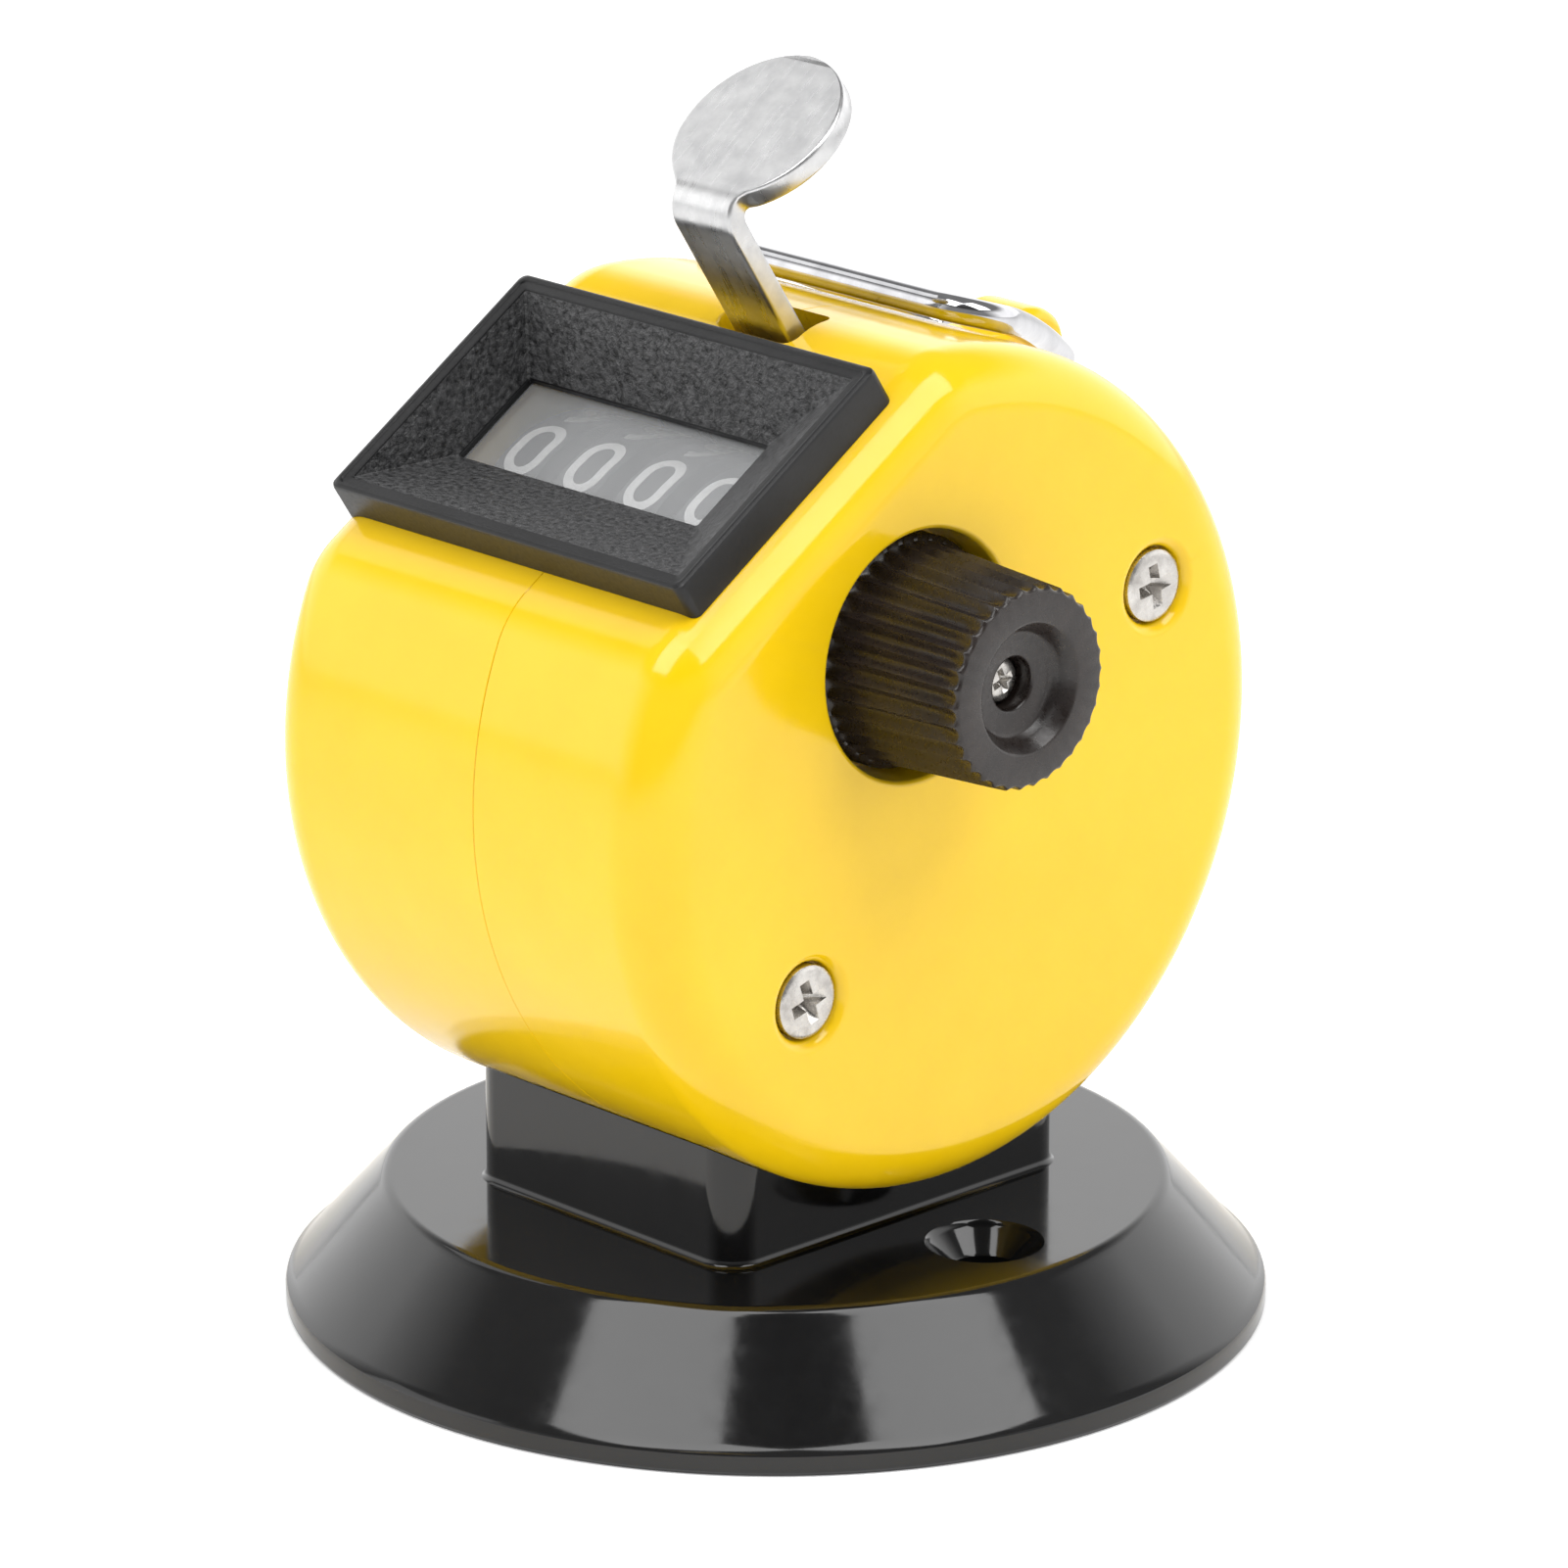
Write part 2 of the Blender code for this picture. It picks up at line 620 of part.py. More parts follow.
def cross_recess(depth, size, width):
    """Two crossed blades that cut a screw's drive recess."""
    blades = block((-size, -width, -depth), (size, width, 1.0))
    return join_on(blades, block((-width, -size, -depth), (width, size, 1.0)))


def screw(head_radius, head_height, shank_radius, length, drive):
    """A screw with its head's top at local Z = 0 and its shank below."""
    profile = [
        (shank_radius * 0.55, -length), (shank_radius, -length + 1.2), (shank_radius, -head_height),
        (head_radius, -head_height), (head_radius, -head_height * 0.35),
        (head_radius * 0.8, -head_height * 0.1), (head_radius * 0.45, 0.0)]
    body = turned(profile, Matrix.Identity(4), 14)
    return cut_away(body, cross_recess(drive, head_radius * 0.58, head_radius * 0.14))


def build_screws():
    for name, place_yz in COVER_SCREWS.items():
        piece = screw(SCREW_HEAD, 0.95, SCREW_SHANK, COVER_SCREW_LENGTH, 0.6)
        piece.data.transform(Matrix.Translation((COVER_SCREW_TOP, *place_yz)) @ TOWARDS_X)
        finish(piece, name, "zinc_screw")
    for name, x in (("stand_screw_left", STAND_SCREW_X[0]), ("stand_screw_right", STAND_SCREW_X[1])):
        piece = screw(2.6, 1.5, SCREW_SHANK, STAND_SCREW_LENGTH, 0.8)
        upside_down = Matrix.Rotation(math.pi, 4, "X")
        piece.data.transform(Matrix.Translation((x, DRUM_Y, STAND_SCREW_TOP)) @ upside_down)
        finish(piece, name, "zinc_screw")
    knob_screw_place = (KNOB_SCREW_TOP, SHAFT_Y, SHAFT_Z)
    piece = screw(KNOB_SCREW_HEAD, 0.8, 0.75, 8.0, 0.5)
    piece.data.transform(Matrix.Translation(knob_screw_place) @ TOWARDS_X)
    finish(piece, "knob_screw", "zinc_screw", knob_screw_place)
    piece = screw(1.7, 0.7, 0.65, 3.0, 0.35)
    piece.data.transform(Matrix.Translation((-12.1, *DETENT_BOSS)) @ TOWARDS_X)
    finish(piece, "detent_screw", "zinc_screw")


# --------------------------------------------------------- wheels and knob

def build_wheel(name, x):
    """A number wheel: a digit band with its ratchet on the knob's side."""
    steps = DIGITS * 4
    band_low = x - WHEEL_BAND / 2
    band_high = x + WHEEL_BAND / 2
    ratchet_high = band_high + WHEEL_RATCHET
    teeth = []
    for step in range(steps):
        angle = math.tau * step / steps
        radius = RATCHET_TIP - (RATCHET_TIP - RATCHET_ROOT) * (step % 4) / 3
        teeth.append((radius * math.cos(angle), radius * math.sin(angle)))
    rings = []
    for radius, height in ((WHEEL_BORE, band_low), (WHEEL_RADIUS - WHEEL_BEVEL, band_low),
                           (WHEEL_RADIUS, band_low + WHEEL_BEVEL), (WHEEL_RADIUS, band_high - WHEEL_BEVEL),
                           (WHEEL_RADIUS - WHEEL_BEVEL, band_high)):
        rings.append(circle(radius, height, steps))
    for height in (band_high, ratchet_high):
        rings.append([Vector((u, v, height)) for u, v in teeth])
    rings.append(circle(WHEEL_BORE, ratchet_high, steps))
    rings = [[SHAFT_LINE @ point for point in ring] for ring in rings]
    return finish(loft(rings, True), name, "wheel_plastic", (x, SHAFT_Y, SHAFT_Z))


def build_shaft():
    low, high = SHAFT_ENDS
    shaft = turned([
        (SHAFT_RADIUS - SHAFT_BEVEL, low), (SHAFT_RADIUS, low + SHAFT_BEVEL),
        (SHAFT_RADIUS, high - SHAFT_BEVEL), (SHAFT_RADIUS - SHAFT_BEVEL, high)], SHAFT_LINE, 24)
    cut_away(shaft, turned([(SHAFT_THREAD, 14.0), (SHAFT_THREAD, high + 1.5)], SHAFT_LINE, 12))
    groove_floor = SHAFT_RADIUS - 0.35
    groove_low = CLIP_X[0] - CLIP_GAP
    groove_high = CLIP_X[1] + CLIP_GAP
    outside = SHAFT_RADIUS + 1.0
    cut_away(shaft, turned([
        (groove_floor, groove_low), (outside, groove_low),
        (outside, groove_high), (groove_floor, groove_high)],
        SHAFT_LINE, 24, True))
    finish(shaft, "wheel_shaft", "nickel_steel", (0.0, SHAFT_Y, SHAFT_Z))
    clip_hole = SHAFT_RADIUS - 0.2
    clip = turned([
        (clip_hole, CLIP_X[0]), (CLIP_RADIUS, CLIP_X[0]), (CLIP_RADIUS, CLIP_X[1]), (clip_hole, CLIP_X[1])],
        SHAFT_LINE, 24, True)
    cut_away(clip, block(
        (CLIP_X[0] - 0.5, SHAFT_Y - CLIP_MOUTH_HALF, SHAFT_Z - 5.0),
        (CLIP_X[1] + 0.1, SHAFT_Y + CLIP_MOUTH_HALF, SHAFT_Z)))
    finish(clip, "shaft_clip", "spring_steel", (0.0, SHAFT_Y, SHAFT_Z))


def ribbed_ring(radius, height, groove):
    """A circle with every third point pulled in to make the ribs."""
    points = circle(radius, height, KNOB_RIBS * 3)
    for point in points[::3]:
        point.x *= (radius - groove) / radius
        point.y *= (radius - groove) / radius
    return [SHAFT_LINE @ point for point in points]


def build_knob():
    """A tapered knob with ribs, a skirt in the cover's cup and a recessed end."""
    skirt_low, skirt_high = KNOB_SKIRT_X
    knob = loft([
        ribbed_ring(KNOB_ROOT_RADIUS, skirt_high - 0.3, KNOB_GROOVE),
        ribbed_ring(KNOB_END_RADIUS, KNOB_END_X - 0.5, KNOB_GROOVE),
        ribbed_ring(KNOB_END_RADIUS - 0.4, KNOB_END_X, 0.05)])
    join_on(knob, turned([
        (KNOB_SKIRT_RADIUS, skirt_low), (KNOB_SKIRT_RADIUS, skirt_high),
        (KNOB_SKIRT_RADIUS - 0.4, skirt_high + 0.3)], SHAFT_LINE, 40))
    cut_away(
        knob,
        turned([(KNOB_BORE, skirt_low - 1.1), (KNOB_BORE, KNOB_BORE_END)], SHAFT_LINE, 20),
        turned([(KNOB_SCREW_THREAD, KNOB_BORE_END - 0.8), (KNOB_SCREW_THREAD, KNOB_END_X)], SHAFT_LINE, 16),
        turned([(KNOB_SCREW_HOLE, KNOB_SCREW_SEAT), (KNOB_SCREW_HOLE, KNOB_END_X)], SHAFT_LINE, 20),
        turned([(KNOB_RECESS_FLOOR, KNOB_END_X - KNOB_RECESS_DEPTH), (KNOB_RECESS_MOUTH, KNOB_END_X),
                (KNOB_RECESS_MOUTH + 0.4, KNOB_END_X + 0.5)], SHAFT_LINE, 32))
    return finish(knob, "reset_knob", "knob_plastic", (19.0, SHAFT_Y, SHAFT_Z))


# ------------------------------------------------------------- thumb lever

def facet_yz(s, d):
    point = FACET @ Vector((0.0, s, d))
    return (point.y, point.z)


def lever_bend_outline():
    """The strip's side view: up from inside, round the bend and along the pad."""
    start = Vector(facet_yz(LEVER_S, LEVER_STRIP_FOOT))
    rise = Vector((-math.cos(FACET_TILT), math.sin(FACET_TILT)))
    pad = Vector((math.cos(LEVER_PAD_RISE), math.sin(LEVER_PAD_RISE)))
    pad_middle = Vector(LEVER_PAD)
    length = (pad_middle - start).dot(Vector((pad.y, -pad.x))) / rise.dot(Vector((pad.y, -pad.x)))
    corner = start + rise * length
    rear = Vector((rise.y, -rise.x))
    turn = rise.angle(pad)
    tangent = LEVER_BEND * math.tan(turn / 2)
    centre = corner - rise * tangent + rear * LEVER_BEND
    outer = [start]
    inner = [start + rear * LEVER_THICKNESS]
    for step in range(7):
        angle = turn * step / 6
        spoke = -rear * math.cos(angle) + rise * math.sin(angle)
        outer.append(centre + spoke * LEVER_BEND)
        inner.append(centre + spoke * (LEVER_BEND - LEVER_THICKNESS))
    below = Vector((pad.y, -pad.x)) * LEVER_THICKNESS
    outer.append(pad_middle)
    inner.append(pad_middle + below)
    return [tuple(point) for point in outer + inner[::-1]]


def build_lever():
    half = LEVER_WIDTH / 2
    lever = prism_x(lever_bend_outline(), LEVER_X - half, LEVER_X + half)
    pad_place = Matrix.Translation((LEVER_X, *LEVER_PAD)) @ Matrix.Rotation(LEVER_PAD_RISE, 4, "X")
    edge = 0.25
    skin = 0.02
    join_on(lever, turned([
        (LEVER_PAD_RADIUS - edge, -LEVER_THICKNESS - skin), (LEVER_PAD_RADIUS, -LEVER_THICKNESS + edge),
        (LEVER_PAD_RADIUS, -edge), (LEVER_PAD_RADIUS - edge, skin)], pad_place, 48))
    rear = LEVER_S + LEVER_THICKNESS
    spine = block(
        (EAR_X[1] - 0.2, LEVER_S + skin, SPINE_DEPTH[0]),
        (ARM_X[1] - 0.2, rear - skin, SPINE_DEPTH[1]), FACET)
    join_on(lever, spine)
    arm = [(-20.2, 43.0), (-19.0, 41.6), (-12.0, 38.6), (-4.0, 37.6), (4.0, 39.0),
           facet_yz(rear + 0.1, 0.6), facet_yz(rear + 0.1, 3.0), facet_yz(rear + 0.2, 5.0),
           facet_yz(rear + 0.2, 13.0), facet_yz(LEVER_S - 1.6, 13.0), facet_yz(LEVER_S - 1.9, 3.2),
           (2.4, 42.2), (-4.0, 41.2), (-12.0, 42.6), (-15.6, 44.2), (-17.0, 46.2),
           (-19.2, 46.0), (-20.4, 44.6)]
    join_on(lever, prism_x(arm, *ARM_X))
    ear = [facet_yz(LEVER_S + 0.1, 8.5), facet_yz(rear - 0.1, 8.5), facet_yz(rear + 0.1, 3.0),
           facet_yz(LEVER_S - 0.1, 0.5), facet_yz(LEVER_S - 2.0, 1.9)]
    join_on(lever, prism_x(ear, *EAR_X))
    cut_away(lever, cylinder_x(
        LEVER_PIVOT, PIN_RADIUS + PIN_GAP, ARM_X[0] - 1.1, ARM_X[1] + 1.6, 20))
    cut_away(lever, cylinder_x(PAWL_PIVOT, PAWL_HOLE, EAR_X[0] - 1.3, ARM_X[1] + 1.6, 16))
    return finish(lever, "thumb_lever", "nickel_steel", (0.0, *LEVER_PIVOT))


def build_pins():
    pin = cylinder_x(LEVER_PIVOT, PIN_RADIUS, *PIN_X, 20)
    finish(pin, "lever_pin", "spring_steel")
    pin = cylinder_x(PAWL_PIVOT, PAWL_PIN_RADIUS, EAR_X[0] - 0.2, ARM_X[1] + 0.3, 16)
    finish(pin, "pawl_pin", "spring_steel", (0.0, *LEVER_PIVOT))


def build_pawl():
    """A comb of four fingers, each reaching one wheel's ratchet."""
    barrel_place = Matrix.Translation((0.0, *PAWL_PIVOT)) @ TOWARDS_X
    inner, outer = PAWL_BARREL_RADIUS
    low_x, high_x = PAWL_BARREL_X
    comb = turned([(inner, low_x), (outer, low_x), (outer, high_x), (inner, high_x)], barrel_place, 20, True)
    for x in WHEEL_X:
        low = x + WHEEL_BAND / 2 + FINGER_GAP
        finger = [(PAWL_PIVOT[0] - 1.3, PAWL_PIVOT[1] - 0.6), (PAWL_PIVOT[0] - 0.9, PAWL_PIVOT[1] + 1.5),
                  (4.2, 47.8), (3.35, 48.4), (3.25, 46.9)]
        join_on(comb, prism_x(finger, low, low + FINGER_WIDTH))
    return finish(comb, "pawl_comb", "nickel_steel", (0.0, *PAWL_PIVOT))


def build_detent():
    """A leaf comb whose fingers rest below the ratchets and hold each digit."""
    low_x = WHEEL_X[3] - 2.2
    high_x = WHEEL_X[0] + WHEEL_BAND / 2 + 1.1
    low_y, high_y = DETENT_Y
    top = DETENT_Z + DETENT_THICK
    comb = block((low_x, low_y, DETENT_Z), (high_x, high_y, top))
    for x in WHEEL_X:
        low = x + WHEEL_BAND / 2 + FINGER_GAP
        finger = [(2.6, DETENT_Z), (2.6, top), (-3.6, 37.3), (-5.0, 37.0), (-5.0, 36.6), (-3.7, 36.8)]
        join_on(comb, prism_x(finger, low, low + FINGER_WIDTH))
    tab = [(low_y, DETENT_Z), (5.4, 31.0), (9.0, 31.0), (9.0, 35.0), (5.4, 35.0), (low_y, top)]
    join_on(comb, prism_x(tab, DETENT_X, DETENT_X + DETENT_THICK))
    join_on(comb, block((DETENT_X, low_y, DETENT_Z), (low_x + 0.5, high_y, top)))
    cut_away(comb, cylinder_x(DETENT_BOSS, 0.9, DETENT_X - 0.6, DETENT_X + 1.4, 12))
    return finish(comb, "detent_comb", "spring_steel")


def build_lever_spring():
    """A torsion coil round the lever's pin; one leg lifts the arm."""
    steps = 10
    pivot_y, pivot_z = LEVER_PIVOT
    path = [Vector((COIL_START, pivot_y - COIL_RADIUS, pivot_z - 7.0))]
    for step in range(COIL_TURNS * steps + steps // 2 + 1):
        angle = math.pi - math.tau * step / steps
        x = COIL_START + COIL_PITCH * step / steps
        side = COIL_RADIUS * math.cos(angle)
        up = COIL_RADIUS * math.sin(angle)
        path.append(Vector((x, pivot_y + side, pivot_z + up)))
    path.append(Vector((path[-1].x + 0.2, path[-1].y, path[-1].z - 3.0)))
    path.append(Vector((7.5, -14.4, 38.9)))
    path.append(Vector((9.2, -14.2, 38.8)))
    return finish(swept(path, COIL_WIRE, 6), "lever_spring", "spring_steel")


# -------------------------------------------------------------------- bail

def bail_corner_path():
    """The bail laid flat: (x, distance round the drum) corners joined by short arcs."""
    end = BAIL_REST_ANGLE * BAIL_RADIUS
    root = HINGE_ANGLE * BAIL_RADIUS
    corners = [Vector(corner) for corner in (
        (BAIL_PIN_X[1], root), (BAIL_ROOT_X[1], root), (BAIL_X[1], end),
        (BAIL_X[0], end), (BAIL_ROOT_X[0], root), (BAIL_PIN_X[0], root))]
    radii = (BAIL_ROOT_CORNER, BAIL_CORNERS[1], BAIL_CORNERS[0], BAIL_ROOT_CORNER)
    path = [corners[0]]
    for index, radius in enumerate(radii, 1):
        here = corners[index]
        back = (corners[index - 1] - here).normalized()
        ahead = (corners[index + 1] - here).normalized()
        half = back.angle(ahead) / 2
        reach = radius / math.tan(half)
        first = here + back * reach
        last = here + ahead * reach
        centre = here + (back + ahead).normalized() * (radius / math.sin(half))
        for step in range(6):
            share = step / 5
            spoke = (first - centre).lerp(last - centre, share).normalized()
            path.append(centre + spoke * radius)
    path.append(corners[-1])
    return path, end, root


def with_shorter_steps(path, longest):
    """The same path with its long steps split."""
    full = [path[0]]
    for point in path[1:]:
        start = full[-1]
        pieces = max(1, round((point - start).length / longest))
        for piece in range(1, pieces + 1):
            full.append(start.lerp(point, piece / pieces))
    return full


def build_bail():
    flat, end, root = bail_corner_path()
    path = []
    for x, along in with_shorter_steps(flat, 3.5):
        share = min(max((along - end) / (root - end), 0.0), 1.0)
        beyond = max(abs(x) - BAIL_DROP_FROM, 0.0)
        radius = BAIL_RADIUS + (HINGE_RADIUS - BAIL_RADIUS) * share * share - BAIL_DROP_RATE * beyond * beyond
        y, z = bail_point(along / BAIL_RADIUS, radius)
        path.append(Vector((x, y, z)))
    hinge = bail_point(HINGE_ANGLE, HINGE_RADIUS)
    return finish(swept(path, WIRE_RADIUS, 12), "bail", "chrome_wire", (0.0, *hinge))


def main():
    clear_scene()
    build_left_shell()
    build_right_cover()
    build_bezel()
    build_window()
    build_stand()
    build_screws()
    for name, x in zip(("units_wheel", "tens_wheel", "hundreds_wheel", "thousands_wheel"), WHEEL_X):
        build_wheel(name, x)
    build_shaft()
    build_knob()
    build_lever()
    build_pins()
    build_pawl()
    build_detent()
    build_lever_spring()
    build_bail()


main()
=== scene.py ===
import math

import bmesh
import bpy
from mathutils import Matrix, Vector


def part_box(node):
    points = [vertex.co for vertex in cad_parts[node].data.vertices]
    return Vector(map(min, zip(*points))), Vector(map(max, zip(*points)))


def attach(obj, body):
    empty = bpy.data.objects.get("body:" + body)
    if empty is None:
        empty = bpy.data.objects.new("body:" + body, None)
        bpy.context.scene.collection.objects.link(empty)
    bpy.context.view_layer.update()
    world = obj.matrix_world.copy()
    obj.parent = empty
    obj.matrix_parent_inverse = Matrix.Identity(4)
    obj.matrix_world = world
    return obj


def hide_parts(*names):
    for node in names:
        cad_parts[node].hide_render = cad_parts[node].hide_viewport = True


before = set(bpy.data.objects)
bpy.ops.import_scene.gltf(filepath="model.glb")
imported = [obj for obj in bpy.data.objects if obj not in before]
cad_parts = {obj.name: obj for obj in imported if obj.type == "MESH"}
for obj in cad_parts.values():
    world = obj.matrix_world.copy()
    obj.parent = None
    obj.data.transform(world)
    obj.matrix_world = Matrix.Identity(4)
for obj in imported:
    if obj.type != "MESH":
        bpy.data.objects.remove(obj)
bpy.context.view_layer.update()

# Looks of a hand tally counter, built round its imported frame.
# Shapes are worked out in millimetres in the frame's own axes:
# +X is the reset knob's side, -Y is the display's side, +Z is up.

MM = 0.001


def box_mm(node):
    low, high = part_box(node)
    return low / MM, high / MM


def middle_mm(node):
    low, high = box_mm(node)
    return (low + high) / 2


# --- sizes ---

# Drum
DRUM_RADIUS = 25.5
DRUM_Y = box_mm("left_shell")[0].y + DRUM_RADIUS
DRUM_Z = box_mm("left_shell")[0].z + DRUM_RADIUS
HALF_WIDTH = box_mm("right_cover")[1].x
RIM = 3.6
WALL = 1.8
SEAM_X = 2.0
SEAM_GAP = 0.015
SEAM_GROOVE = 0.04
FACET_TILT = math.radians(57.0)
FACET_DEPTH = 22.2
FACET_CORNER = 6.0
CAVITY_BEVEL = 0.5
CAVITY_CORNER = 1.6

# Bosses and holes inside the drum
BOSS_ROOT = 0.5
LEFT_BOSS_RADIUS = 3.0
LEFT_BOSS_END = 1.2
RIGHT_BOSS_RADIUS = 3.6
RIGHT_BOSS_START = 2.4
PILOT_RADIUS = 1.3
PILOT_X = (-11.0, 2.0)
SCREW_HOLE_RADIUS = 1.6
SCREW_HOLE_X = (1.0, 18.0)
# Dish round a cover screw's head: (radius, x)
SCREW_DISH = (
    (2.4, 15.6), (2.4, 16.3), (2.46, 16.5), (2.62, 16.7), (2.86, 16.88), (3.15, 17.0), (3.4, 17.3))
STAND_BOSS_RADIUS = 2.8
STAND_BOSS_Z = (12.6, 20.0)
STAND_PILOT_Z = (9.0, 18.5)
CUP_BACK = 11.2
CUP_WALL = 1.4
CUP_FLOOR = 1.6
CUP_LIP = 0.35
SHAFT_HOLE = 1.7
SHAFT_HOLE_END = 14.0

# The lever's slot: room beside, before and behind the strip, then (height
# above the facet, growth) of its softened mouth
SLOT_SIDES = (1.1, 0.55)
SLOT_FRONT = 0.35
SLOT_REAR = 1.8
SLOT_CORNER = 0.8
SLOT_MOUTH = ((-5.0, 0.0), (-0.5, 0.0), (-0.25, 0.02), (-0.1, 0.06), (0.0, 0.14), (4.0, 0.14))

# Display bezel, in the facet's frame
BEZEL_X = (-15.55, 14.75)
BEZEL_S = (-9.25, 9.35)
BEZEL_TOP = 24.5
BEZEL_FOOT = 20.6
BEZEL_LAND = 1.1
BEZEL_OVERLAP = (0.35, 0.75)
BEZEL_OPENING_DEPTH = (4.5, 5.0)
BEZEL_SINK = 0.03
FUNNEL_FLOOR = 20.0
TUB_FLOOR = 18.9
WINDOW_X = (-13.8, 6.9)
WINDOW_S = (-1.65, 5.1)
PANE_LEDGE = 0.9
PANE_TOP = 19.6
PANE_BOTTOM = 18.95
PANE_GAP = 0.15
PANE_RISE = 0.1
# Rim from outside to inside: (inset, drop below the top, corner radius)
BEZEL_RIM = (
    (0.0, 0.3, 0.55), (0.06, 0.1, 0.52), (0.2, 0.02, 0.6), (0.36, 0.0, 0.5), (0.46, 0.03, 0.44),
    (0.52, 0.12, 0.4), (BEZEL_LAND - 0.14, 0.14, 0.22), (BEZEL_LAND - 0.05, 0.17, 0.2),
    (BEZEL_LAND, 0.26, 0.2))

# Stand
BASE_RADIUS = box_mm("base_stand")[1].x
BASE_TOP_RADIUS = 23.7
BASE_HEIGHT = 8.1
BASE_LIP = 1.4
BASE_WALL = 2.1
# Edge of the base's top: (distance outside its radius, drop)
BASE_EDGE = ((0.38, 0.3), (0.2, 0.13), (-0.02, 0.03), (-0.3, 0.0))
PEDESTAL_HALF = (11.5, 14.0)
PEDESTAL_CORNER = 2.2
PEDESTAL_GAP = 0.06
PEDESTAL_TOP = 17.5
PEDESTAL_REACH = 20.0
# Foot of the pedestal: (height above the base, growth)
PEDESTAL_FOOT = ((-1.0, 0.3), (0.0, 0.3), (0.08, 0.16), (0.24, 0.04), (0.45, 0.0))
POCKET_WALL = 2.0
POCKET_CORNER = 1.2
POCKET_Z = (2.0, 8.7)
STAND_SCREW_HOLE = 1.6
STAND_SCREW_Z = (7.0, 13.0)
DESK_HOLE_X = 18.0
DESK_BOSS_RADIUS = 4.4
# Desk hole: (radius, depth below the base's top)
DESK_HOLE = (
    (2.1, 1.75), (2.2, 1.6), (3.3, 0.4), (3.42, 0.24), (3.48, 0.1), (3.58, 0.0), (3.8, -0.4))

# Number wheels and knob, round the shaft
SHAFT = middle_mm("wheel_shaft")
WHEELS = ("units_wheel", "tens_wheel", "hundreds_wheel", "thousands_wheel")
WHEEL_RADIUS = 8.6
WHEEL_BAND = 3.75
RATCHET_WIDTH = 1.3
RATCHET_TIP = 7.4
RATCHET_ROOT = 6.2
WHEEL_BORE = 1.75
DIGIT_HEIGHT = 4.6
DIGIT_WIDTH = 2.9
DIGIT_STROKE = 0.66
DIGIT_ADVANCE = math.radians(4.0)
DIGIT_STEP = 0.35
DIGIT_PROUD = 0.03
DIGIT_LAYER = 0.006
DIGIT_SUNK = 0.05
KNOB_END = box_mm("reset_knob")[1].x
KNOB_BACK = box_mm("reset_knob")[0].x
KNOB_HOLE = 7.5
KNOB_RIBS = 34
KNOB_SKIRT = 7.0
KNOB_BODY_X = 15.9
KNOB_BODY = (6.62, 6.05)
KNOB_BORE = 1.65
KNOB_SCREW_BORE = (1.55, 1.05)
KNOB_SCREW_X = (22.8, 20.8)
# Flutes: (share of the body's length, depth)
KNOB_FLUTES = (
    (0.03, 0.24), (0.07, 0.44), (0.12, 0.52), (0.3, 0.52), (0.5, 0.52), (0.7, 0.52), (0.86, 0.52),
    (0.92, 0.46), (0.96, 0.36), (1.0, 0.26))
# End and recess: (distance back from the end, radius, flute depth)
KNOB_TIP = (
    (0.22, 6.02, 0.2), (0.1, 5.93, 0.15), (0.02, 5.79, 0.08), (0.0, 5.65, 0.0), (0.0, 4.05, 0.0),
    (0.03, 3.93, 0.0), (0.1, 3.84, 0.0), (0.9, 3.4, 0.0), (1.25, 3.2, 0.0), (1.36, 3.05, 0.0),
    (1.4, 2.85, 0.0), (1.4, 1.75, 0.0), (1.46, 1.62, 0.0))

# Thumb lever
LEVER_X = 1.8
LEVER_HALF = 2.5
LEVER_THICK = 1.4
LEVER_S = 11.38
LEVER_STRIP_FOOT = 7.6
LEVER_PAD = 5.6
LEVER_PAD_RISE = math.radians(37.0)
LEVER_PAD_MIDDLE = (-3.3, 74.0)
LEVER_BEND = 2.2
LEVER_EDGE = 0.24
PAD_BLEND = 1.1
PAD_OVERLAP = 0.5
PAD_END = math.radians(177.5)
LEVER_ARM_X = (8.1, 9.4)
LEVER_EAR_X = (-14.7, -13.4)
LEVER_PLATE_D = (7.0, 12.9)
LEVER_PIN_HOLE = 1.35
PAWL_PIN_HOLE = 1.0
# The arm's lower and upper edges, in the frame's (y, z)
LEVER_ARM_LOWER = ((-20.2, 43.0), (-19.0, 41.6), (-12.0, 38.6), (-4.0, 37.6), (4.0, 39.0))
LEVER_ARM_UPPER = (
    (2.4, 42.2), (-4.0, 41.2), (-12.0, 42.6), (-15.6, 44.2), (-17.0, 46.2), (-19.2, 46.0),
    (-20.4, 44.6))

# Bail
WIRE = 0.85
WIRE_GAP = 0.2
WIRE_TAPER = 0.8
WIRE_STEP = 0.8
BAIL_X = (-19.1, 10.8)
BAIL_CORNERS = (4.0, 2.4)
BAIL_ROOT_X = (-7.2, 3.4)
BAIL_ROOT_CORNER = 1.6
BAIL_PIN_X = (-2.9, -0.7)
BAIL_REST = math.radians(16.0)
BAIL_RADIUS = 26.55
BAIL_DROP_FROM = 14.0
BAIL_DROP_RATE = 0.11
HINGE_ANGLE = math.radians(49.0)
HINGE_RADIUS = 28.6
LUG_X = (-4.2, 1.0)
LUG_RADIUS = 2.8
LUG_FOOT_HALF = 5.6
LUG_ROOT = 1.2
LUG_EDGE = 0.8
LUG_BORE_X = (-6.0, 3.0)

# Screws: (head radius, head height, shank radius)
COVER_SCREW = (2.25, 0.95, 1.1)
STAND_SCREW = (2.6, 1.5, 1.1)
KNOB_SCREW = (1.3, 0.8, 0.75)
THREAD_PITCH = 0.9
THREAD_DEPTH = 0.16

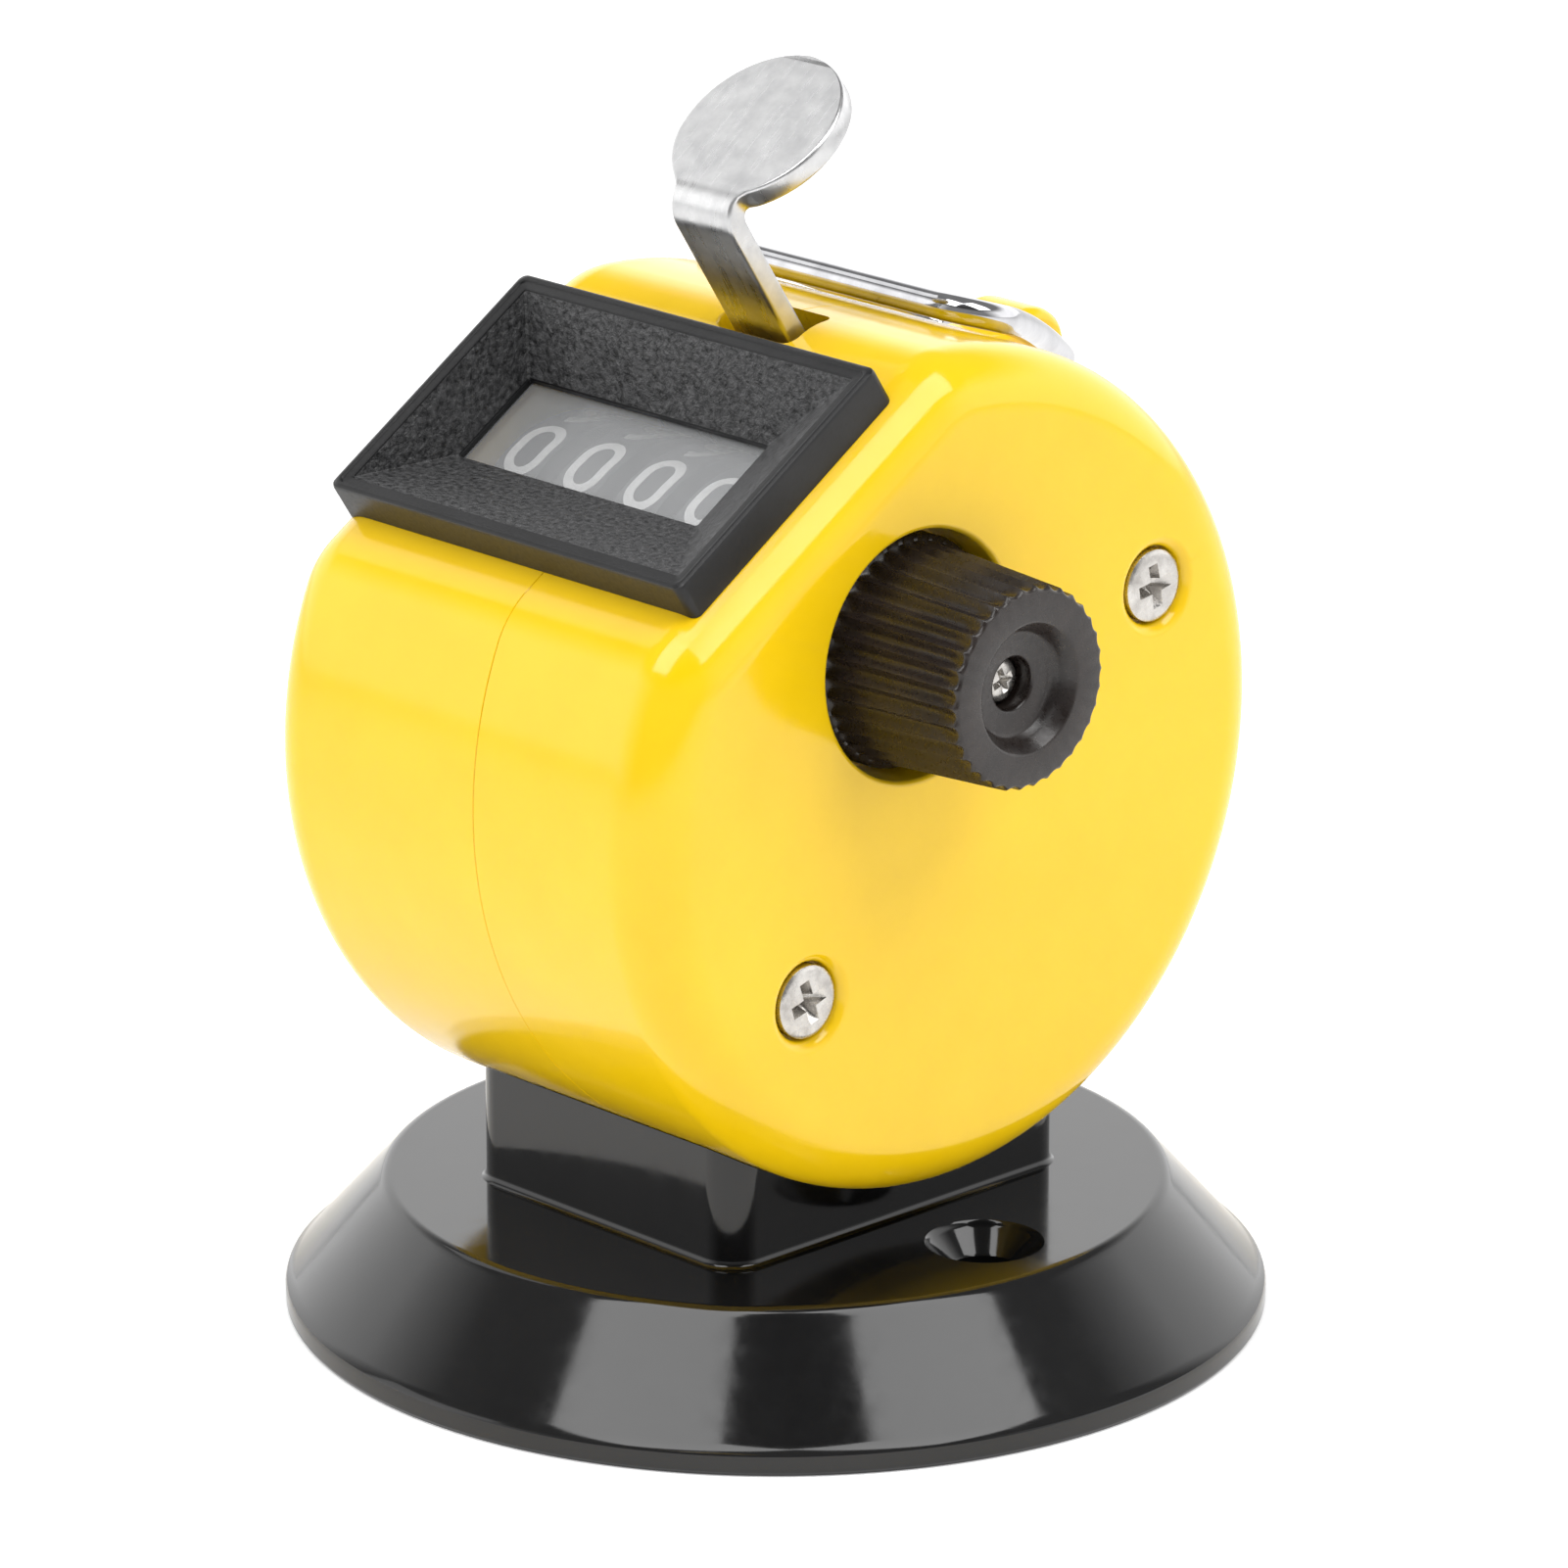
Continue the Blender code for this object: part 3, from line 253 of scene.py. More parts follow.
FACET = Matrix((
    (1.0, 0.0, 0.0, 0.0),
    (0.0, math.sin(FACET_TILT), -math.cos(FACET_TILT), DRUM_Y),
    (0.0, math.cos(FACET_TILT), math.sin(FACET_TILT), DRUM_Z),
    (0.0, 0.0, 0.0, 1.0),
))
TOWARDS_X = Matrix.Rotation(math.radians(90.0), 4, "Y")
SHAFT_LINE = Matrix.Translation((0.0, SHAFT.y, SHAFT.z)) @ TOWARDS_X


# --- mesh tools ---

def add_object(name, data):
    added = bpy.data.objects.new(name, data)
    bpy.context.scene.collection.objects.link(added)
    return added


def raw_piece(vertices, faces):
    """A mesh object in millimetres with its faces turned outwards."""
    mesh = bpy.data.meshes.new("work")
    mesh.from_pydata([tuple(vertex) for vertex in vertices], [], faces)
    work = bmesh.new()
    work.from_mesh(mesh)
    bmesh.ops.recalc_face_normals(work, faces=work.faces)
    work.to_mesh(mesh)
    work.free()
    return add_object("work", mesh)


def loft(rings, ring_closed=False):
    """Skin equal rings, capped at both ends or joined end to end."""
    count = len(rings[0])
    vertices = [point for ring in rings for point in ring]
    faces = []
    spans = len(rings) if ring_closed else len(rings) - 1
    for row in range(spans):
        here = row * count
        there = ((row + 1) % len(rings)) * count
        for step in range(count):
            after = (step + 1) % count
            faces.append((here + step, here + after, there + after, there + step))
    if not ring_closed:
        last = (len(rings) - 1) * count
        faces.append(tuple(range(count)))
        faces.append(tuple(range(last, last + count)))
    return raw_piece(vertices, faces)


def circle(radius, height, steps):
    points = []
    for step in range(steps):
        angle = math.tau * step / steps
        points.append(Vector((radius * math.cos(angle), radius * math.sin(angle), height)))
    return points


def turned(profile, place, steps=64, ring_closed=False):
    """Revolve (radius, height) points round the local Z axis."""
    rings = [[place @ point for point in circle(*spot, steps)] for spot in profile]
    return loft(rings, ring_closed)


def cylinder_x(place_yz, radius, low, high, steps=48):
    place = Matrix.Translation((0.0, place_yz[0], place_yz[1])) @ TOWARDS_X
    return turned([(radius, low), (radius, high)], place, steps)


def prism_x(outline, low, high):
    return loft([[Vector((x, y, z)) for y, z in outline] for x in (low, high)])


def block(low, high, place=Matrix.Identity(4)):
    rings = []
    for height in (low[2], high[2]):
        corners = [(low[0], low[1]), (high[0], low[1]), (high[0], high[1]), (low[0], high[1])]
        rings.append([place @ Vector((x, y, height)) for x, y in corners])
    return loft(rings)


def rounded_box_outline(low, high, corner, steps=6):
    """A rounded rectangle between two 2D corners, anticlockwise."""
    middle = ((low[0] + high[0]) / 2, (low[1] + high[1]) / 2)
    half = ((high[0] - low[0]) / 2, (high[1] - low[1]) / 2)
    points = []
    for quarter, (sign_x, sign_y) in enumerate(((1, 1), (-1, 1), (-1, -1), (1, -1))):
        for step in range(steps + 1):
            angle = math.radians(90.0) * (quarter + step / steps)
            points.append((middle[0] + sign_x * (half[0] - corner) + corner * math.cos(angle),
                           middle[1] + sign_y * (half[1] - corner) + corner * math.sin(angle)))
    return points


def grown_outline(low, high, grow, corner, steps):
    """A rounded rectangle that stands out from two corners by grow all round."""
    return rounded_box_outline(
        (low[0] - grow, low[1] - grow), (high[0] + grow, high[1] + grow), corner, steps)


def swept(path, radius, steps):
    """A round wire along a path of points, a little thinner at its two ends."""
    rings = []
    normal = None
    for index, point in enumerate(path):
        before = path[max(index - 1, 0)]
        after = path[min(index + 1, len(path) - 1)]
        tangent = (after - before).normalized()
        if normal is None:
            normal = tangent.orthogonal().normalized()
        normal = (normal - tangent * normal.dot(tangent)).normalized()
        side = tangent.cross(normal)
        reach = radius * (WIRE_TAPER if index in (0, len(path) - 1) else 1.0)
        ring = []
        for step in range(steps):
            angle = math.tau * step / steps
            ring.append(
                point + normal * (reach * math.cos(angle)) + side * (reach * math.sin(angle)))
        rings.append(ring)
    return loft(rings)


def bake(piece):
    """Replace a piece's mesh by what its modifiers make of it."""
    graph = bpy.context.evaluated_depsgraph_get()
    graph.update()
    piece.data = bpy.data.meshes.new_from_object(piece.evaluated_get(graph))
    piece.modifiers.clear()


def combine(piece, others, operation):
    for other in others:
        cut = piece.modifiers.new("combine", "BOOLEAN")
        cut.solver = "EXACT"
        cut.operation = operation
        cut.object = other
        bake(piece)
        bpy.data.objects.remove(other)
    return piece


def cut_away(piece, *others):
    return combine(piece, others, "DIFFERENCE")


def join_on(piece, *others):
    return combine(piece, others, "UNION")


def chamfer(piece, width, limit=40.0, segments=2):
    """Round the sharp edges of a piece by a small width."""
    bevel = piece.modifiers.new("edges", "BEVEL")
    bevel.width = width
    bevel.segments = segments
    bevel.limit_method = "ANGLE"
    bevel.angle_limit = math.radians(limit)
    bevel.use_clamp_overlap = True
    bake(piece)
    return piece


def publish(piece, name, look, body, nodes=(), sharp=32.0):
    """Name a piece, turn it to metres, shade it and hand it to the frame."""
    piece.name = name
    piece.data.name = name
    piece.data.transform(Matrix.Scale(MM, 4))
    piece.data.materials.clear()
    piece.data.materials.append(LOOK[look])
    piece.data.shade_smooth()
    piece.data.set_sharp_from_angle(angle=math.radians(sharp))
    weigh = piece.modifiers.new("weigh", "WEIGHTED_NORMAL")
    weigh.keep_sharp = True
    bake(piece)
    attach(piece, body)
    if nodes:
        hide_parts(*nodes)
    return piece


# --- materials ---

# The range that most of a noise lies in
NOISE_LOW = 0.3
NOISE_HIGH = 0.7


def noise_node(tree, scale, detail, roughness=0.5, distortion=0.0, stretch=None):
    """Noise in the piece's own coordinates; stretch squeezes it along an axis."""
    place = tree.nodes.new("ShaderNodeTexCoord")
    noise = tree.nodes.new("ShaderNodeTexNoise")
    noise.inputs["Scale"].default_value = scale
    noise.inputs["Detail"].default_value = detail
    noise.inputs["Roughness"].default_value = roughness
    noise.inputs["Distortion"].default_value = distortion
    source = place.outputs["Object"]
    if stretch:
        mapping = tree.nodes.new("ShaderNodeMapping")
        mapping.inputs["Scale"].default_value = stretch
        tree.links.new(source, mapping.inputs["Vector"])
        source = mapping.outputs["Vector"]
    tree.links.new(source, noise.inputs["Vector"])
    return noise.outputs["Fac"]


def ramp_between(tree, source, low, high):
    """Turn a noise value into a value between low and high."""
    spread = tree.nodes.new("ShaderNodeMapRange")
    spread.inputs["From Min"].default_value = NOISE_LOW
    spread.inputs["From Max"].default_value = NOISE_HIGH
    spread.inputs["To Min"].default_value = low
    spread.inputs["To Max"].default_value = high
    tree.links.new(source, spread.inputs["Value"])
    return spread.outputs["Result"]


def colour_between(tree, source, low, high, start=NOISE_LOW, end=NOISE_HIGH):
    ramp = tree.nodes.new("ShaderNodeValToRGB")
    ramp.color_ramp.elements[0].position = start
    ramp.color_ramp.elements[0].color = (*low, 1.0)
    ramp.color_ramp.elements[1].position = end
    ramp.color_ramp.elements[1].color = (*high, 1.0)
    tree.links.new(source, ramp.inputs["Fac"])
    return ramp.outputs["Color"]


def bump_node(tree, height, distance_mm, under=None):
    bump = tree.nodes.new("ShaderNodeBump")
    bump.inputs["Strength"].default_value = 1.0
    bump.inputs["Distance"].default_value = distance_mm * MM
    tree.links.new(height, bump.inputs["Height"])
    if under:
        tree.links.new(under, bump.inputs["Normal"])
    return bump.outputs["Normal"]


def finish_material(name, dark, light, rough, blotch_scale, grain_scale, grain_mm, metallic=0.0,
                    stretch=None, specular=0.5, alpha=1.0, fine=None):
    """A surface whose colour, roughness and height all vary with noise."""
    material = bpy.data.materials.new(name)
    material.use_nodes = True
    tree = material.node_tree
    shader = tree.nodes["Principled BSDF"]
    shader.inputs["Metallic"].default_value = metallic
    shader.inputs["Specular IOR Level"].default_value = specular
    shader.inputs["Alpha"].default_value = alpha
    blotch = noise_node(tree, blotch_scale, 4.0, 0.6)
    tree.links.new(colour_between(tree, blotch, dark, light), shader.inputs["Base Color"])
    wear = noise_node(tree, grain_scale, 3.0, 0.6, 0.2, stretch)
    tree.links.new(ramp_between(tree, wear, *rough), shader.inputs["Roughness"])
    normal = bump_node(tree, wear, grain_mm)
    if fine:
        normal = bump_node(tree, noise_node(tree, fine[0], 2.0), fine[1], normal)
    tree.links.new(normal, shader.inputs["Normal"])
    return material


# Per look: name, dark and light colour, roughness range, blotch and grain scale,
# grain height in mm, then what only this look has
LOOKS = {
    "yellow": ((
        "yellow_plastic_look", (0.88, 0.56, 0.003), (0.92, 0.59, 0.006),
        (0.10, 0.17), 160.0, 900.0, 0.0012), dict(fine=(6000.0, 0.0004))),
    "black": ((
        "black_plastic_look", (0.0035, 0.0035, 0.0038), (0.007, 0.007, 0.0074),
        (0.07, 0.13), 120.0, 700.0, 0.0014), dict(fine=(5000.0, 0.0003))),
    "bezel": ((
        "bezel_plastic_look", (0.004, 0.004, 0.0045), (0.009, 0.009, 0.010),
        (0.30, 0.44), 300.0, 4500.0, 0.006), dict(specular=0.4)),
    # Funnel walls: a random tone whose colour noise runs at the bump's scale, so the grain's crests are
    # painted lighter and its hollows painted darker (painted light and shade)
    "grain_and_painted_shade": ((
        "bezel_grain_and_painted_shade_look", (0.005, 0.005, 0.0055), (0.105, 0.105, 0.107),
        (0.34, 0.48), 2600.0, 2600.0, 0.22), dict(fine=(9000.0, 0.01), specular=0.4)),
    "knob": ((
        "knob_plastic_look", (0.011, 0.0075, 0.0065), (0.024, 0.017, 0.014),
        (0.22, 0.38), 500.0, 3000.0, 0.010), {}),
    "wheel": ((
        "wheel_plastic_look", (0.054, 0.054, 0.055), (0.066, 0.066, 0.067),
        (0.45, 0.55), 400.0, 2500.0, 0.0004), {}),
    "digit": ((
        "digit_paint_look", (0.82, 0.82, 0.81), (0.95, 0.95, 0.94),
        (0.4, 0.55), 2500.0, 6000.0, 0.003), {}),
    "nickel": ((
        "nickel_look", (0.50, 0.50, 0.505), (0.64, 0.64, 0.64),
        (0.24, 0.36), 700.0, 2600.0, 0.008), dict(metallic=1.0, stretch=(1.0, 0.12, 0.12))),
    "chrome": ((
        "chrome_look", (0.46, 0.46, 0.475), (0.60, 0.60, 0.615),
        (0.04, 0.12), 500.0, 1500.0, 0.0015), dict(metallic=1.0)),
    "zinc": ((
        "zinc_look", (0.38, 0.36, 0.34), (0.62, 0.60, 0.57),
        (0.18, 0.36), 900.0, 2600.0, 0.010), dict(metallic=1.0)),
    "spring": ((
        "spring_steel_look", (0.30, 0.30, 0.31), (0.48, 0.48, 0.49),
        (0.24, 0.42), 900.0, 3800.0, 0.005), dict(metallic=1.0)),
    # A clear pane with a thin milky haze and fine scuffs
    "pane": ((
        "window_clear_look", (0.62, 0.63, 0.64), (0.68, 0.69, 0.70),
        (0.05, 0.12), 200.0, 600.0, 0.0006), dict(specular=0.6, alpha=0.26)),
}
LOOK = {key: finish_material(*common, **own) for key, (common, own) in LOOKS.items()}


# --- drum ---

def drum_outline(inset):
    """(s, d) points of the drum seen from its side: facet, soft corners, round."""
    corner = FACET_CORNER - inset
    radius = DRUM_RADIUS - inset
    middle_d = FACET_DEPTH - FACET_CORNER
    middle_s = math.sqrt((DRUM_RADIUS - FACET_CORNER) ** 2 - middle_d ** 2)
    turn = math.atan2(middle_s, middle_d)
    corner_steps = 18
    round_steps = 200
    facet_steps = 12
    points = []
    for step in range(corner_steps):
        angle = turn * step / corner_steps
        points.append((middle_s + corner * math.sin(angle), middle_d + corner * math.cos(angle)))
    for step in range(round_steps):
        angle = turn + (math.tau - 2.0 * turn) * step / round_steps
        points.append((radius * math.sin(angle), radius * math.cos(angle)))
    for step in range(corner_steps):
        angle = turn * (step / corner_steps - 1.0)
        points.append((-middle_s + corner * math.sin(angle), middle_d + corner * math.cos(angle)))
    for step in range(facet_steps):
        along = 2.0 * step / facet_steps - 1.0
        points.append((along * middle_s, FACET_DEPTH - inset))
    return points


def facet_loop(low, high, grow, depth, corner, steps):
    """A rounded rectangle on the facet, between two (x, s) corners."""
    return [FACET @ Vector((x, s, depth)) for x, s in grown_outline(low, high, grow, corner, steps)]


def drum_ring(x, inset):
    return [FACET @ Vector((x, s, d)) for s, d in drum_outline(inset)]


def drum_half(side, seam, inset, groove):
    """A solid half of the drum from its seam to its rounded outer edge."""
    steps = 14
    rings = [drum_ring(seam, inset + groove), drum_ring(seam + side * groove, inset)]
    for step in range(steps + 1):
        angle = math.radians(90.0) * step / steps
        x = side * (HALF_WIDTH - inset - RIM * (1.0 - math.sin(angle)))
        rings.append(drum_ring(x, inset + RIM * (1.0 - math.cos(angle))))
    return loft(rings)


def drum_cavity(side, seam):
    floor = side * (HALF_WIDTH - WALL)
    return loft([
        drum_ring(seam - side * 1.0, WALL),
        drum_ring(floor - side * WALL, WALL),
        drum_ring(floor - side * CAVITY_BEVEL, WALL + CAVITY_BEVEL),
        drum_ring(floor, WALL + CAVITY_CORNER)])


def drum_point(angle, radius):
    return (DRUM_Y + radius * math.sin(angle), DRUM_Z + radius * math.cos(angle))


def lug():
    """The bail's lug: a rounded tab with softened sides."""
    outward = Vector((math.sin(HINGE_ANGLE), math.cos(HINGE_ANGLE)))
    along = Vector((math.cos(HINGE_ANGLE), -math.sin(HINGE_ANGLE)))
    middle = Vector((DRUM_Y, DRUM_Z))
    hinge = middle + outward * HINGE_RADIUS
    foot = middle + outward * (DRUM_RADIUS - LUG_ROOT)
    rings = []
    for x, direction in ((LUG_X[0], 1), (LUG_X[1], -1)):
        steps = [(x + direction * LUG_EDGE * (1.0 - math.cos(math.radians(angle))),
                  LUG_EDGE * (1.0 - math.sin(math.radians(angle))))
                 for angle in (0.0, 30.0, 60.0, 90.0)]
        for place_x, inset in steps[::direction]:
            points = [foot + along * (LUG_FOOT_HALF - inset)]
            for step in range(33):
                angle = math.radians(-15.0 + 210.0 * step / 32)
                spoke = along * math.cos(angle) + outward * math.sin(angle)
                points.append(hinge + spoke * (LUG_RADIUS - inset))
            points.append(foot - along * (LUG_FOOT_HALF - inset))
            rings.append([Vector((place_x, point.x, point.y)) for point in points])
    return loft(rings)


def slot_cutter():
    """The lever's slot, with round ends and a softened mouth."""
    low = (LEVER_X - LEVER_HALF - SLOT_SIDES[0], LEVER_S - SLOT_FRONT)
    high = (LEVER_X + LEVER_HALF + SLOT_SIDES[1], LEVER_S + LEVER_THICK + SLOT_REAR)
    return loft([facet_loop(low, high, grow, FACET_DEPTH + height, SLOT_CORNER + grow, 8)
                 for height, grow in SLOT_MOUTH])


def bezel_opening():
    near, far = BEZEL_OVERLAP
    below, above = BEZEL_OPENING_DEPTH
    return block((BEZEL_X[0] + near, BEZEL_S[0] + near, FACET_DEPTH - below),
                 (BEZEL_X[1] - far, BEZEL_S[1] - far, FACET_DEPTH + above), FACET)


def cup_cutter():
    """Cuts the knob's cup, with a rounded lip on the drum's side."""
    profile = [(KNOB_HOLE, CUP_BACK + CUP_FLOOR), (KNOB_HOLE, HALF_WIDTH - CUP_LIP)]
    for step in range(1, 6):
        angle = math.radians(90.0) * step / 5
        profile.append((KNOB_HOLE + CUP_LIP * (1.0 - math.cos(angle)),
                        HALF_WIDTH - CUP_LIP * (1.0 - math.sin(angle))))
    profile.append((KNOB_HOLE + CUP_LIP, HALF_WIDTH + 1.0))
    return turned(profile, SHAFT_LINE, 120)


def cover_screw_places():
    middles = [middle_mm(node) for node in ("cover_screw_rear", "cover_screw_front")]
    return [(middle.y, middle.z) for middle in middles]


def stand_post(node, radius, low, high):
    middle = middle_mm(node)
    place = Matrix.Translation((middle.x, middle.y, 0.0))
    return turned([(radius, low), (radius, high)], place, 32)


def add_stand_boss(shell, node):
    join_on(shell, stand_post(node, STAND_BOSS_RADIUS, *STAND_BOSS_Z))
    cut_away(shell, stand_post(node, PILOT_RADIUS, *STAND_PILOT_Z))


def build_left_shell():
    seam = SEAM_X - SEAM_GAP
    floor = -(HALF_WIDTH - WALL)
    shell = cut_away(drum_half(-1, seam, 0.0, SEAM_GROOVE), drum_cavity(-1, seam))
    for place_yz in cover_screw_places():
        join_on(shell, cylinder_x(place_yz, LEFT_BOSS_RADIUS, floor - BOSS_ROOT, LEFT_BOSS_END))
        cut_away(shell, cylinder_x(place_yz, PILOT_RADIUS, *PILOT_X, 32))
    add_stand_boss(shell, "stand_screw_left")
    join_on(shell, lug())
    hinge = drum_point(HINGE_ANGLE, HINGE_RADIUS)
    cut_away(shell, cylinder_x(hinge, WIRE + WIRE_GAP, *LUG_BORE_X, 32))
    cut_away(shell, bezel_opening(), slot_cutter())
    publish(shell, "left_shell_look", "yellow", "housing", ["left_shell"])


def build_right_cover():
    seam = SEAM_X + SEAM_GAP
    floor = HALF_WIDTH - WALL
    shaft_yz = (SHAFT.y, SHAFT.z)
    shell = cut_away(drum_half(1, seam, 0.0, SEAM_GROOVE), drum_cavity(1, seam))
    join_on(shell, cylinder_x(shaft_yz, KNOB_HOLE + CUP_WALL, CUP_BACK, floor + BOSS_ROOT, 64))
    cut_away(shell, cup_cutter())
    cut_away(shell, cylinder_x(shaft_yz, SHAFT_HOLE, CUP_BACK - 1.0, SHAFT_HOLE_END))
    for place_yz in cover_screw_places():
        dish = Matrix.Translation((0.0, *place_yz)) @ TOWARDS_X
        join_on(shell, cylinder_x(place_yz, RIGHT_BOSS_RADIUS, RIGHT_BOSS_START, floor + BOSS_ROOT))
        cut_away(shell, cylinder_x(place_yz, SCREW_HOLE_RADIUS, *SCREW_HOLE_X, 32))
        cut_away(shell, turned(SCREW_DISH, dish, 72))
    add_stand_boss(shell, "stand_screw_right")
    cut_away(shell, bezel_opening(), slot_cutter())
    publish(shell, "right_cover_look", "yellow", "housing", ["right_cover"])


# --- bezel and window ---

def build_bezel():
    """One closed skin: outer wall, raised rim, grained funnel, window and tub."""
    low = (BEZEL_X[0], BEZEL_S[0])
    high = (BEZEL_X[1], BEZEL_S[1])

    def rim(inset, depth, corner):
        return facet_loop(low, high, -inset, depth, corner, 5)

    def window(grow, depth, corner):
        return facet_loop((WINDOW_X[0], WINDOW_S[0]), (WINDOW_X[1], WINDOW_S[1]), grow, depth, corner, 5)

    ledge = PANE_LEDGE + PANE_GAP
    rings = [rim(0.0, BEZEL_FOOT, 0.55)]
    rings += [rim(inset, BEZEL_TOP - drop, corner) for inset, drop, corner in BEZEL_RIM]
    rings += [window(grow, depth, corner) for grow, depth, corner in (
        (0.06, FUNNEL_FLOOR + 0.06, 0.2), (0.0, FUNNEL_FLOOR - 0.03, 0.15),
        (0.0, PANE_TOP + PANE_RISE, 0.15), (ledge, PANE_TOP + PANE_RISE, 0.15),
        (ledge, TUB_FLOOR, 0.15))]
    rings += [rim(1.0, TUB_FLOOR, 0.3), rim(0.9, BEZEL_FOOT, 0.3)]
    bezel = loft(rings, True)
    for side in (-1, 1):
        drum = drum_half(side, -side * 1.0, -BEZEL_SINK, 0.0)
        cut_away(drum, bezel_opening())
        cut_away(bezel, drum)
    publish(bezel, "display_bezel_look", "bezel", "housing", ["display_bezel"], 28.0)
    # The funnel's slopes take the grain look, with painted shade in the grain's hollows and painted
    # light on its crests
    bezel.data.materials.append(LOOK["grain_and_painted_shade"])
    to_facet = FACET.inverted()
    land = BEZEL_LAND
    for face in bezel.data.polygons:
        x, s, depth = to_facet @ (face.center / MM)
        inside = low[0] + land < x < high[0] - land and low[1] + land < s < high[1] - land
        on_slope = FUNNEL_FLOOR + 0.1 < depth < BEZEL_TOP - 0.3
        face.material_index = 1 if inside and on_slope else 0


def build_window():
    pane = block(
        (WINDOW_X[0] - PANE_LEDGE, WINDOW_S[0] - PANE_LEDGE, PANE_BOTTOM),
        (WINDOW_X[1] + PANE_LEDGE, WINDOW_S[1] + PANE_LEDGE, PANE_TOP), FACET)
    chamfer(pane, 0.08)
    publish(pane, "display_window_look", "pane", "housing", ["display_window"])


# --- stand ---

def build_stand():
    upright = Matrix.Identity(4)
    rim_low = (BASE_RADIUS - 0.6, BASE_LIP + 0.42)
    rim_high = (BASE_TOP_RADIUS + 0.55, BASE_HEIGHT - 0.5)
    profile = [(BASE_RADIUS - 0.35, 0.0), (BASE_RADIUS - 0.12, 0.06), (BASE_RADIUS, 0.28),
               (BASE_RADIUS, BASE_LIP - 0.25), (BASE_RADIUS - 0.08, BASE_LIP - 0.02),
               (BASE_RADIUS - 0.35, BASE_LIP + 0.14), rim_low]
    for step in range(1, 9):
        share = step / 8
        profile.append((rim_low[0] + (rim_high[0] - rim_low[0]) * share,
                        rim_low[1] + (rim_high[1] - rim_low[1]) * share))
    profile += [(BASE_TOP_RADIUS + outside, BASE_HEIGHT - drop) for outside, drop in BASE_EDGE]
    stand = turned(profile, upright, 256)
    low = (-PEDESTAL_HALF[0], DRUM_Y - PEDESTAL_HALF[1])
    high = (PEDESTAL_HALF[0], DRUM_Y + PEDESTAL_HALF[1])
    heights = [(BASE_HEIGHT + height, grow) for height, grow in PEDESTAL_FOOT] + [(PEDESTAL_TOP, 0.0)]
    pedestal = loft([
        [Vector((x, y, height)) for x, y in grown_outline(low, high, grow, PEDESTAL_CORNER + grow, 12)]
        for height, grow in heights])
    cut_away(pedestal, cylinder_x(
        (DRUM_Y, DRUM_Z), DRUM_RADIUS + PEDESTAL_GAP, -PEDESTAL_REACH, PEDESTAL_REACH, 360))
    join_on(stand, pedestal)
    cut_away(stand, turned([
        (BASE_RADIUS - BASE_WALL, -1.0), (BASE_RADIUS - BASE_WALL, BASE_LIP - 0.3),
        (BASE_TOP_RADIUS - 1.2, BASE_HEIGHT - BASE_WALL)], upright, 128))
    pocket = grown_outline(low, high, -POCKET_WALL, POCKET_CORNER, 6)
    cut_away(stand, loft([[Vector((x, y, z)) for x, y in pocket] for z in POCKET_Z]))
    hole = [(DESK_HOLE[0][0], -1.0)] + [(radius, BASE_HEIGHT - drop) for radius, drop in DESK_HOLE]
    for side in (-1, 1):
        place = Matrix.Translation((side * DESK_HOLE_X, 0.0, 0.0))
        join_on(stand, turned(
            [(DESK_BOSS_RADIUS, 0.6), (DESK_BOSS_RADIUS, BASE_HEIGHT - 1.0)], place, 48))
        cut_away(stand, turned(hole, place, 96))
    for node in ("stand_screw_left", "stand_screw_right"):
        cut_away(stand, stand_post(node, STAND_SCREW_HOLE, *STAND_SCREW_Z))
    publish(stand, "base_stand_look", "black", "housing", ["base_stand"], 28.0)


# --- screws ---

def cross_recess(depth, reach, width):
    """A tapered cross that cuts a screw's drive."""
    blades = []
    for along_x in (True, False):
        rings = []
        for height, share, narrow in ((-depth, 0.35, 0.55), (0.0, 1.0, 1.0), (0.6, 1.3, 1.2)):
            long, short = reach * share, width * narrow
            half = (long, short) if along_x else (short, long)
            rings.append([Vector((half[0] * u, half[1] * v, height))
                          for u, v in ((-1, -1), (1, -1), (1, 1), (-1, 1))])
        blades.append(loft(rings))
    return join_on(blades[0], blades[1])


def build_screw(node, sizes, length, place, turn, body, crown=0.12):
    """A cross-recess screw whose head's top is at the place's origin."""
    head, height, shank = sizes
    profile = [(shank * 0.55, -length), (shank, -length + 1.2)]
    half_pitch = THREAD_PITCH / 2
    for step in range(int((length - 2.4 - height) / half_pitch)):
        radius = shank if step % 2 else shank - THREAD_DEPTH
        profile.append((radius, -length + 1.4 + step * THREAD_PITCH / 2))
    profile += [
        (shank, -height - 0.1), (head * 0.96, -height), (head, -height + 0.08),
        (head, -crown - 0.22), (head - 0.05, -crown - 0.1), (head - 0.16, -crown - 0.02),
        (head - 0.32, -crown + 0.03), (head * 0.6, -crown * 0.3), (head * 0.3, 0.0)]
    screw = turned(profile, Matrix.Identity(4), 64)
    cut_away(screw, cross_recess(head * 0.5, head * 0.62, head * 0.17))
    chamfer(screw, 0.05, 50.0)
    screw.data.transform(place @ Matrix.Rotation(math.radians(turn), 4, "Z"))
    publish(screw, node + "_look", "zinc", body, [node], 30.0)


